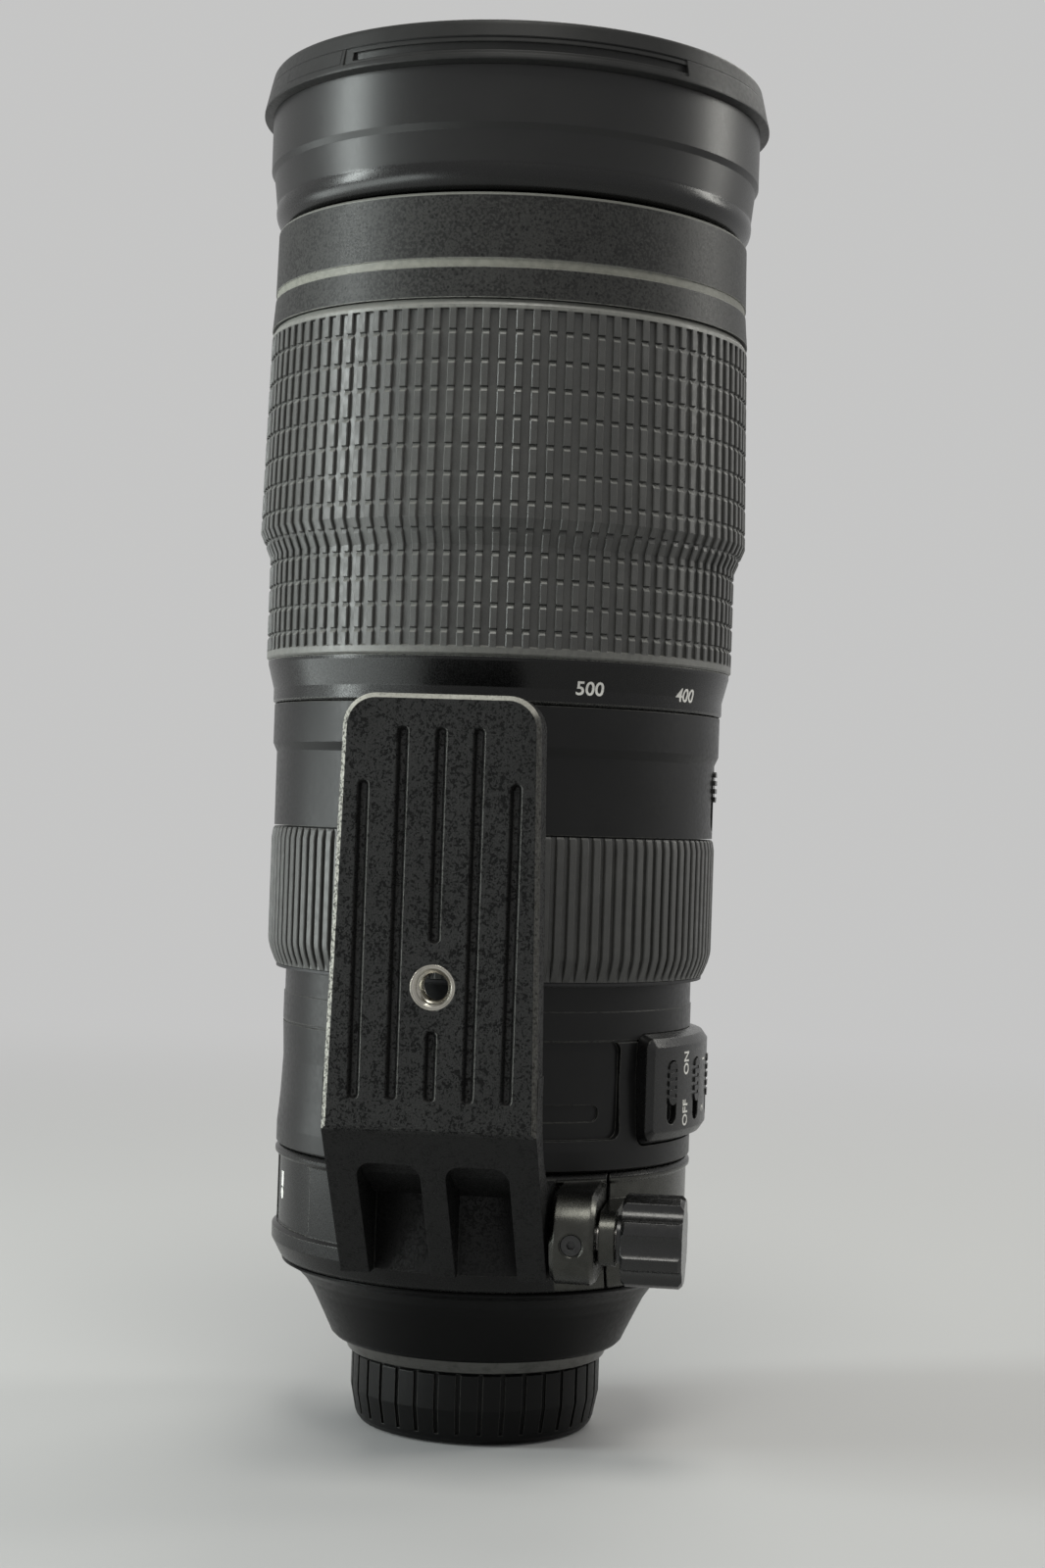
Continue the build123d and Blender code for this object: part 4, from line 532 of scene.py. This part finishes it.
LENS_AXIS = ((0, 0, 0), "Z")
DARK_MATT = (0.012, 0.012, 0.0125)
finishes = {
    "front_rim": rim_finish(),
    "front_barrel": front_barrel_finish(),
    "front_trim": moulded("front_trim_matt", shade(BODY, 0.8), 0.62, grain=0.3, specular=0.2),
    "zoom_sleeve": sleeve_finish(),
    "zoom_grip": zoom_rubber_finish(),
    "middle_barrel": smooth_shell("middle_satin", shade(BODY, 1.25), 0.36, rubbed=0.4),
    "focus_grip": rubber("focus_rubber", shade(RUBBER, 0.85), 0.46),
    "rear_barrel": smooth_shell("rear_satin", BODY, 0.34, rubbed=0.3),
    "rear_cone": smooth_shell("cone_satin", shade(BODY, 0.4), 0.36, specular=0.13, round_edge=1.2),
    "switch_panel": smooth_shell("panel_satin", PANEL, 0.30, specular=0.4, round_edge=0.35, rubbed=0.35),
    "rear_cap": moulded("cap_plastic", (0.0035,) * 3, 0.40, grain=0.4, depth=0.01, specular=0.15, rubbed=0.15),
    "tripod_collar": collar_finish(),
    "clamp_knob": moulded("knob_gloss", (0.003,) * 3, 0.25, grain=0.5, depth=0.002, spread=0.04, specular=0.6),
    "mount_flange": turned("mount_turned", (0.13, 0.129, 0.122), 0.3, *LENS_AXIS),
    "mount_screws": turned("screw_steel", (0.38, 0.37, 0.36), 0.32, *LENS_AXIS),
    "foot_bush": turned("bush_steel", (0.46, 0.44, 0.39), 0.2, (0, 0, BUSH_HEIGHT), "Y", depth=0.008),
    "clamp_screw": turned("clamp_steel", (0.30, 0.29, 0.28), 0.35, (0, -46, 47.4), "X"),
    "clamp_set_screw": turned("set_screw_steel", (0.06, 0.06, 0.06), 0.32, (25.5, -50, 47.0), "Y"),
    "front_element": glass("front_glass", (0.93, 0.98, 0.95), 420.0),
    "distance_window": glass("window_plastic", (0.90, 0.91, 0.92), 0.0),
    "main_board": board_finish(),
    "collar_lining": felt_finish(),
    "cam_rollers": turned("roller_brass", (0.60, 0.45, 0.20), 0.30, (0, 0, 158), "Z"),
    "distance_drum": moulded("drum_matt", DARK_MATT, 0.6, specular=0.3),
    "contact_block": moulded("contact_plastic", (0.015, 0.015, 0.0155), 0.5),
    "diaphragm_unit": moulded("diaphragm_matt", DARK_MATT, 0.6, specular=0.3),
}
by_slot = {
    "slider_black": moulded("slider_plastic", (0.016, 0.016, 0.016), 0.28, grain=0.3, depth=0.006),
    "glass_inner": glass("inner_glass", (0.95, 0.97, 0.96), 380.0),
    "barrel_black": finishes["middle_barrel"],
}
anodised = turned("anodised_black", (0.026, 0.026, 0.027), 0.45, *LENS_AXIS, metal=0.6)
slots = {part["node"]: part["material_slot"] for part in frame["record"]["subparts"]}
for name, node in nodes.items():
    finish = finishes.get(name) or by_slot.get(slots[name], anodised)
    node.data.materials.clear()
    node.data.materials.append(finish.material)


# ---------------------------------------------------------------- pieces


def spot(angle, radius, height):
    """Point at an angle from the foot, a radius and a height."""
    turn = math.radians(angle)
    return Vector((radius * math.sin(turn), -radius * math.cos(turn), height)) * MM


def piece(name, shape, finish, body, sharp=30.0):
    """Mesh piece that rides on a body, smooth but for edges sharper than so many degrees."""
    points, faces = shape
    mesh = bpy.data.meshes.new(name)
    mesh.from_pydata(points, [], faces)
    work = bmesh.new()
    work.from_mesh(mesh)
    bmesh.ops.remove_doubles(work, verts=work.verts, dist=1e-7)
    bmesh.ops.dissolve_degenerate(work, edges=work.edges, dist=1e-7)
    bmesh.ops.recalc_face_normals(work, faces=work.faces)
    work.to_mesh(mesh)
    work.free()
    mesh.shade_smooth()
    mesh.set_sharp_from_angle(angle=math.radians(sharp))
    made = bpy.data.objects.new(name, mesh)
    scene.collection.objects.link(made)
    made.data.materials.append(finish.material)
    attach(made, body)
    return made


def ribbed_ring(rows, count, groove, edge):
    """Closed ring with ribs outside: rows of (height, rib radius, groove radius) lead round its section.

    The groove is degrees wide and starts each pitch, and the edge is the break on a rib.
    """
    pitch = 360 / count
    points, faces = [], []
    for height, rib, floor in rows:
        lean = math.degrees(edge / rib)
        drop = edge if floor < rib else 0.0
        section = (
            (0, floor),
            (groove, floor),
            (groove, rib - drop),
            (groove + lean, rib),
            (pitch - lean, rib),
            (pitch, rib - drop),
        )
        for step in range(count):
            for offset, radius in section:
                points.append(spot(step * pitch + offset, radius, height))
    width = count * len(section)
    for row in range(len(rows)):
        below, above = row * width, (row + 1) % len(rows) * width
        for index in range(width):
            beside = (index + 1) % width
            faces.append((below + index, below + beside, above + beside, above + index))
    return points, faces


def zoom_grip_rows():
    """Section of the zoom rubber, with a notch across every rib at each of its rows.

    A notch has a ramp that rises out of the rib from below and a steep wall above it.
    """
    profile = ((161.4, 49.3), (181.0, 49.3), (186.2, 51.45), (226.7, 50.5))
    notches = (164.4, 169.45, 174.45, 179.45, 183.9, 189.2, 194.7, 200.25, 205.8, 211.35, 216.75, 222.5)
    groove_depth, notch_depth = 0.66, 0.56
    ramp_low, ramp_high, wall_high = -0.7, 0.15, 0.4

    def radius(height):
        for (low, first), (high, second) in zip(profile, profile[1:]):
            if height <= high:
                return first + (second - first) * (height - low) / (high - low)
        return profile[-1][1]

    marks = {height: 0.0 for height, _ in profile}
    for row in notches:
        marks.update({row + ramp_low: 0.0, row + ramp_high: notch_depth, row + wall_high: 0.0})
    rows = [(159.5, 47.5, 47.5), (159.5, 48.9, 48.9), (159.9, 49.3, 49.3), (GRIP_LOW, 49.3, 49.3)]
    for height in sorted(marks):
        level = radius(height)
        rows.append((height, level - marks[height], level - groove_depth))
    rows += [(GRIP_HIGH, 50.5, 50.5), (227.6, 50.4, 50.4), (228.8, 49.7, 49.7), (228.8, 47.5, 47.5)]
    return rows


def focus_grip_rows():
    """Section of the focus rubber: plain ribs that are bevelled towards both ends."""
    return [
        (96.0, 44.6, 44.6),
        (96.0, 45.2, 45.2),
        (96.6, 45.55, 45.2),
        (98.8, 46.45, 45.6),
        (100.5, 46.9, 46.1),
        (101.5, 47.0, 46.15),
        (122.4, 47.0, 46.15),
        (124.2, 46.7, 46.15),
        (124.6, 46.4, 46.15),
        (124.6, 44.6, 44.6),
    ]


def wrapped(shapes, angle, radius, height, thickness=0.05, turn=0.0, sink=0.03):
    """Flat shapes, wrapped round the lens as thin solid marks.

    Each shape is (points, faces) with x along the ring and y up; turn rotates them first.
    """
    around = math.radians(turn)
    points, faces = [], []
    for flat, polygons in shapes:
        bottom = len(points)
        for lift in (-sink, thickness):
            for x, y in flat:
                across = x * math.cos(around) - y * math.sin(around)
                up = x * math.sin(around) + y * math.cos(around)
                level = radius(height + up) if callable(radius) else radius
                points.append(spot(angle + math.degrees(across / level), level + lift, height + up))
        top = bottom + len(flat)
        borders = {}
        for polygon in polygons:
            faces.append(tuple(bottom + index for index in reversed(polygon)))
            faces.append(tuple(top + index for index in polygon))
            for edge in zip(polygon, polygon[1:] + polygon[:1]):
                if borders.pop(edge[::-1], None) is None:
                    borders[edge] = True
        for first, second in borders:
            faces.append((bottom + first, bottom + second, top + second, top + first))
    return points, faces


def bar(x, y, width, height):
    """Flat rectangle centred at x, y, split across its width so that it can bend."""
    steps = max(1, round(width / 0.8))
    flat, polygons = [], []
    for step in range(steps + 1):
        across = x - width / 2 + width * step / steps
        flat += [(across, y - height / 2), (across, y + height / 2)]
    for step in range(steps):
        polygons.append((2 * step, 2 * step + 2, 2 * step + 3, 2 * step + 1))
    return flat, polygons


def disc(x, y, radius, sides=24):
    ring = [2 * math.pi * step / sides for step in range(sides)]
    flat = [(x + radius * math.cos(turn), y + radius * math.sin(turn)) for turn in ring]
    return flat, [tuple(range(sides))]


def lettering(text, size, stretch=1.0):
    """Flat shape of a plain number or word, centred on its own middle."""
    curve = bpy.data.curves.new("lettering", "FONT")
    curve.body = text
    curve.size = size
    curve.align_x, curve.align_y = "CENTER", "CENTER"
    curve.resolution_u = 4
    curve.offset = 0.016 * size
    carrier = bpy.data.objects.new("lettering", curve)
    scene.collection.objects.link(carrier)
    bpy.context.view_layer.update()
    mesh = carrier.to_mesh()
    flat = [(vertex.co.x * stretch, vertex.co.y) for vertex in mesh.vertices]
    polygons = []
    for polygon in mesh.polygons:
        ring = tuple(polygon.vertices)
        polygons.append(ring if polygon.normal.z > 0 else ring[::-1])
    carrier.to_mesh_clear()
    bpy.data.objects.remove(carrier)
    bpy.data.curves.remove(curve)
    high = max(y for x, y in flat)
    low = min(y for x, y in flat)
    return [(x, y - (high + low) / 2) for x, y in flat], polygons


def joined(parts):
    points, faces = [], []
    for more_points, more_faces in parts:
        shift = len(points)
        points += more_points
        faces += [tuple(index + shift for index in face) for face in more_faces]
    return points, faces


def scale_band_radius(height):
    """Radius of the tapered band that carries the zoom scale."""
    low_height, low_radius = 153.5, 47.6
    high_height, high_radius = 158.6, 48.9
    rise = max(0.0, height - low_height) * (high_radius - low_radius)
    return low_radius + rise / (high_height - low_height)


def thread(radius, depth, pitch, length, place, sides):
    """Screw thread standing inwards from a bore; place takes lengths along the axis to the world."""
    root, root_half, crest_half = 0.05, 0.42, 0.06
    turns = length / pitch - 1
    steps = int(turns * sides)
    run_out = sides / 4
    points, faces = [], []
    for step in range(steps + 1):
        turn = 2 * math.pi * step / sides
        middle = pitch * (0.5 + step / sides)
        crest = radius - depth * min(1.0, step / run_out, (steps - step) / run_out)
        section = (
            (radius + root, -root_half),
            (crest, -crest_half),
            (crest, crest_half),
            (radius + root, root_half),
        )
        for level, rise in section:
            across = Vector((level * math.cos(turn), level * math.sin(turn), middle + rise * pitch))
            points.append(place @ (across * MM))
    for step in range(steps):
        for side in range(4):
            beside = (side + 1) % 4
            faces.append((4 * step + side, 4 * step + beside, 4 * step + 4 + beside, 4 * step + 4 + side))
    faces += [(0, 1, 2, 3), (4 * steps + 3, 4 * steps + 2, 4 * steps + 1, 4 * steps)]
    return points, faces


# The two rubbers, with their ribs: count, and the groove's width over the radius where it is measured
zoom_shape = ribbed_ring(zoom_grip_rows(), 96, math.degrees(1.75 / 51.45), 0.2)
zoom_rubber = piece(
    "zoom_grip_rubber", zoom_shape, finishes["zoom_grip"], "zoom_ring", sharp=11.0
)
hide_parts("zoom_grip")
focus_shape = ribbed_ring(focus_grip_rows(), 112, math.degrees(0.95 / 47.0), 0.2)
focus_rubber = piece(
    "focus_grip_rubber", focus_shape, finishes["focus_grip"], "focus_ring", sharp=11.0
)
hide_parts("focus_grip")

# Numbers and marks: (word, angle) pairs, then the bars that they are read against
print_white = moulded("print_white", PRINT, 0.5, grain=0.2, depth=0.004, round_edge=0)
zoom_words = (("500", 30.4), ("400", 60.7), ("300", 102.0), ("200", 180.0))
zoom_numbers = [
    wrapped([lettering(word, 3.75, 1.1)], angle, scale_band_radius, 153.9) for word, angle in zoom_words
]
piece("zoom_numbers", joined(zoom_numbers), print_white, "zoom_ring")
zoom_bar = wrapped([bar(0, 0, 0.7, 3.4)], 180.0, 47.3, 147.8)
piece("zoom_index", zoom_bar, print_white, "barrel")

drum_radius, drum_words_height, drum_bars_height = 40.4, 74.5, 70.2
drum_words = (("3", 132), ("4", 142), ("5", 151), ("7", 160), ("10", 169), ("20", 178), ("50", 187))
distances = [
    wrapped([lettering(word, 3.4)], angle, drum_radius, drum_words_height) for word, angle in drum_words
]
distances.append(wrapped([bar(0, 0, 0.5, 2.6)], 192.0, drum_radius, drum_bars_height))
distances += [
    wrapped([bar(0, 0, 0.35, 1.4)], angle, drum_radius, drum_bars_height) for _, angle in drum_words
]
piece("distance_numbers", joined(distances), print_white, "scale_drum")
window_bar = wrapped([bar(0, 0, 0.4, 3.0)], 180.0, 42.9, 66.6)
piece("distance_index", window_bar, print_white, "barrel")

labels = []
switches = ((69.3, ("ON", "OFF")), (83.4, ("1", "2")), (97.5, ("ON", "OFF")), (110.4, ("1", "2")))
for angle, words in switches:
    for word, height in zip(words, (79.2, 69.0)):
        labels.append(wrapped([lettering(word, 3.1)], angle, 46.9, height, turn=90.0))
piece("switch_labels", joined(labels), print_white, "barrel")
collar_mark = wrapped([bar(0, 3.0, 2.2, 3.1), disc(0, 0, 1.2)], -67.0, 42.8, 48.2)
piece("collar_index", collar_mark, print_white, "collar")

# Thread forms: radius, depth, pitch, length, place and sides
filter_thread = thread(47.5, 0.34, 0.75, 6.2, Matrix.Translation((0, 0, 276.1 * MM)), 144)
piece("filter_thread", filter_thread, finishes["front_rim"], "front_group")
outwards = Matrix.Rotation(math.radians(90), 4, "X")
bush_place = Matrix.Translation((0, -64.2 * MM, BUSH_HEIGHT * MM)) @ outwards
bush_thread = thread(3.175, 0.5, 1.27, 7.4, bush_place, 48)
piece("bush_thread", bush_thread, finishes["foot_bush"], "collar")


# ---------------------------------------------------------------- camera, floor and light

# Camera fitted to the ring outlines of the photograph
camera_place = Vector((0.07804, -0.53971, 0.129839))
camera_right = Vector((0.990664, 0.132034, 0.034025))
camera_up = Vector((-0.032423, -0.014271, 0.999372))
camera_data = bpy.data.cameras.new("photo_camera")
camera_data.sensor_fit = "AUTO"
camera_data.sensor_width = 36.0
camera_data.lens = 58.688
camera_data.clip_start = 0.01
camera = bpy.data.objects.new("photo_camera", camera_data)
scene.collection.objects.link(camera)
camera_turn = Matrix((camera_right, camera_up, camera_right.cross(camera_up))).transposed().to_4x4()
camera.matrix_world = Matrix.Translation(camera_place) @ camera_turn
scene.camera = camera


def seen_directly(tree):
    """1 for rays from the camera, from gloss and through glass, 0 for the light on the object."""
    path = tree.nodes.new("ShaderNodeLightPath")
    total = path.outputs["Is Camera Ray"]
    for name in ("Is Glossy Ray", "Is Transmission Ray"):
        either = tree.nodes.new("ShaderNodeMath")
        either.operation = "MAXIMUM"
        tree.links.new(total, either.inputs[0])
        tree.links.new(path.outputs[name], either.inputs[1])
        total = either.outputs["Value"]
    return total


# The floor is a plain pale sheet that takes the backdrop's colour away from the lens
FLOOR_HALF = 8.0
FADE_NEAR, FADE_FAR = 0.22, 0.95
corners = [(-1, -1), (1, -1), (1, 1), (-1, 1)]
floor_mesh = bpy.data.meshes.new("floor")
floor_mesh.from_pydata([(x * FLOOR_HALF, y * FLOOR_HALF, 0) for x, y in corners], [], [(0, 1, 2, 3)])
floor = bpy.data.objects.new("floor", floor_mesh)
scene.collection.objects.link(floor)
floor_paint = Finish("floor_paint", PALE, 0.7, specular=0.2, round_edge=0)
floor_paint.paint(floor_paint.tones(floor_paint.noise(400, 2), PALE, 0.86, 0.90))
away = floor_paint.length(*floor_paint.axes()[:2])
far = floor_paint.times(floor_paint.span(away, FADE_NEAR, FADE_FAR), seen_directly(floor_paint.tree))
haze = floor_paint.add("ShaderNodeEmission")
haze.inputs["Color"].default_value = (*PALE, 1)
fade = floor_paint.add("ShaderNodeMixShader")
floor_paint.link(far, fade.inputs["Fac"])
floor_paint.link(floor_paint.shader.outputs["BSDF"], fade.inputs[1])
floor_paint.link(haze.outputs["Emission"], fade.inputs[2])
floor_paint.link(fade.outputs["Shader"], floor_paint.tree.nodes["Material Output"].inputs["Surface"])
floor.data.materials.append(floor_paint.material)

# The world lights the object softly, and is seen in the backdrop's own colour
world = bpy.data.worlds.new("room")
scene.world = world
world.use_nodes = True
tree = world.node_tree
backdrop = tree.nodes["Background"]
backdrop.inputs["Color"].default_value = (*PALE, 1)
backdrop.inputs["Strength"].default_value = 1.0
glow = tree.nodes.new("ShaderNodeBackground")
glow.inputs["Color"].default_value = (0.97, 0.98, 1.0, 1)
glow.inputs["Strength"].default_value = 0.34
blend = tree.nodes.new("ShaderNodeMixShader")
tree.links.new(seen_directly(tree), blend.inputs["Fac"])
tree.links.new(glow.outputs["Background"], blend.inputs[1])
tree.links.new(backdrop.outputs["Background"], blend.inputs[2])
tree.links.new(blend.outputs["Shader"], tree.nodes["World Output"].inputs["Surface"])

COOL = (0.93, 1.0, 0.98)
WARM = (1.0, 0.99, 0.93)


def lamp(name, place, target_height, width, height, power, colour):
    """Soft rectangular lamp that faces a point on the lens's axis and isn't seen by the camera."""
    data = bpy.data.lights.new(name, "AREA")
    data.color = colour
    data.shape = "RECTANGLE"
    data.size, data.size_y = width, height
    data.energy = power
    made = bpy.data.objects.new(name, data)
    scene.collection.objects.link(made)
    towards = Vector((0, 0, target_height)) - Vector(place)
    facing = towards.to_track_quat("-Z", "Y").to_matrix().to_4x4()
    made.matrix_world = Matrix.Translation(Vector(place)) @ facing
    made.visible_camera = False


lamp("key_lamp", (-1.14, -0.37, 0.48), 0.18, 0.24, 0.66, 9.5, COOL)
lamp("low_lamp", (-0.40, -0.17, 0.06), 0.20, 0.6, 0.2, 1.5, COOL)
lamp("side_lamp", (0.95, 0.42, 0.62), 0.22, 0.25, 0.5, 3.2, WARM)
lamp("top_lamp", (0.1, -0.5, 1.25), 0.12, 0.5, 0.5, 6.0, WARM)
lamp("back_lamp", (0.2, 1.0, 1.0), 0.15, 0.9, 0.5, 5.0, WARM)

scene.view_settings.view_transform = "Standard"
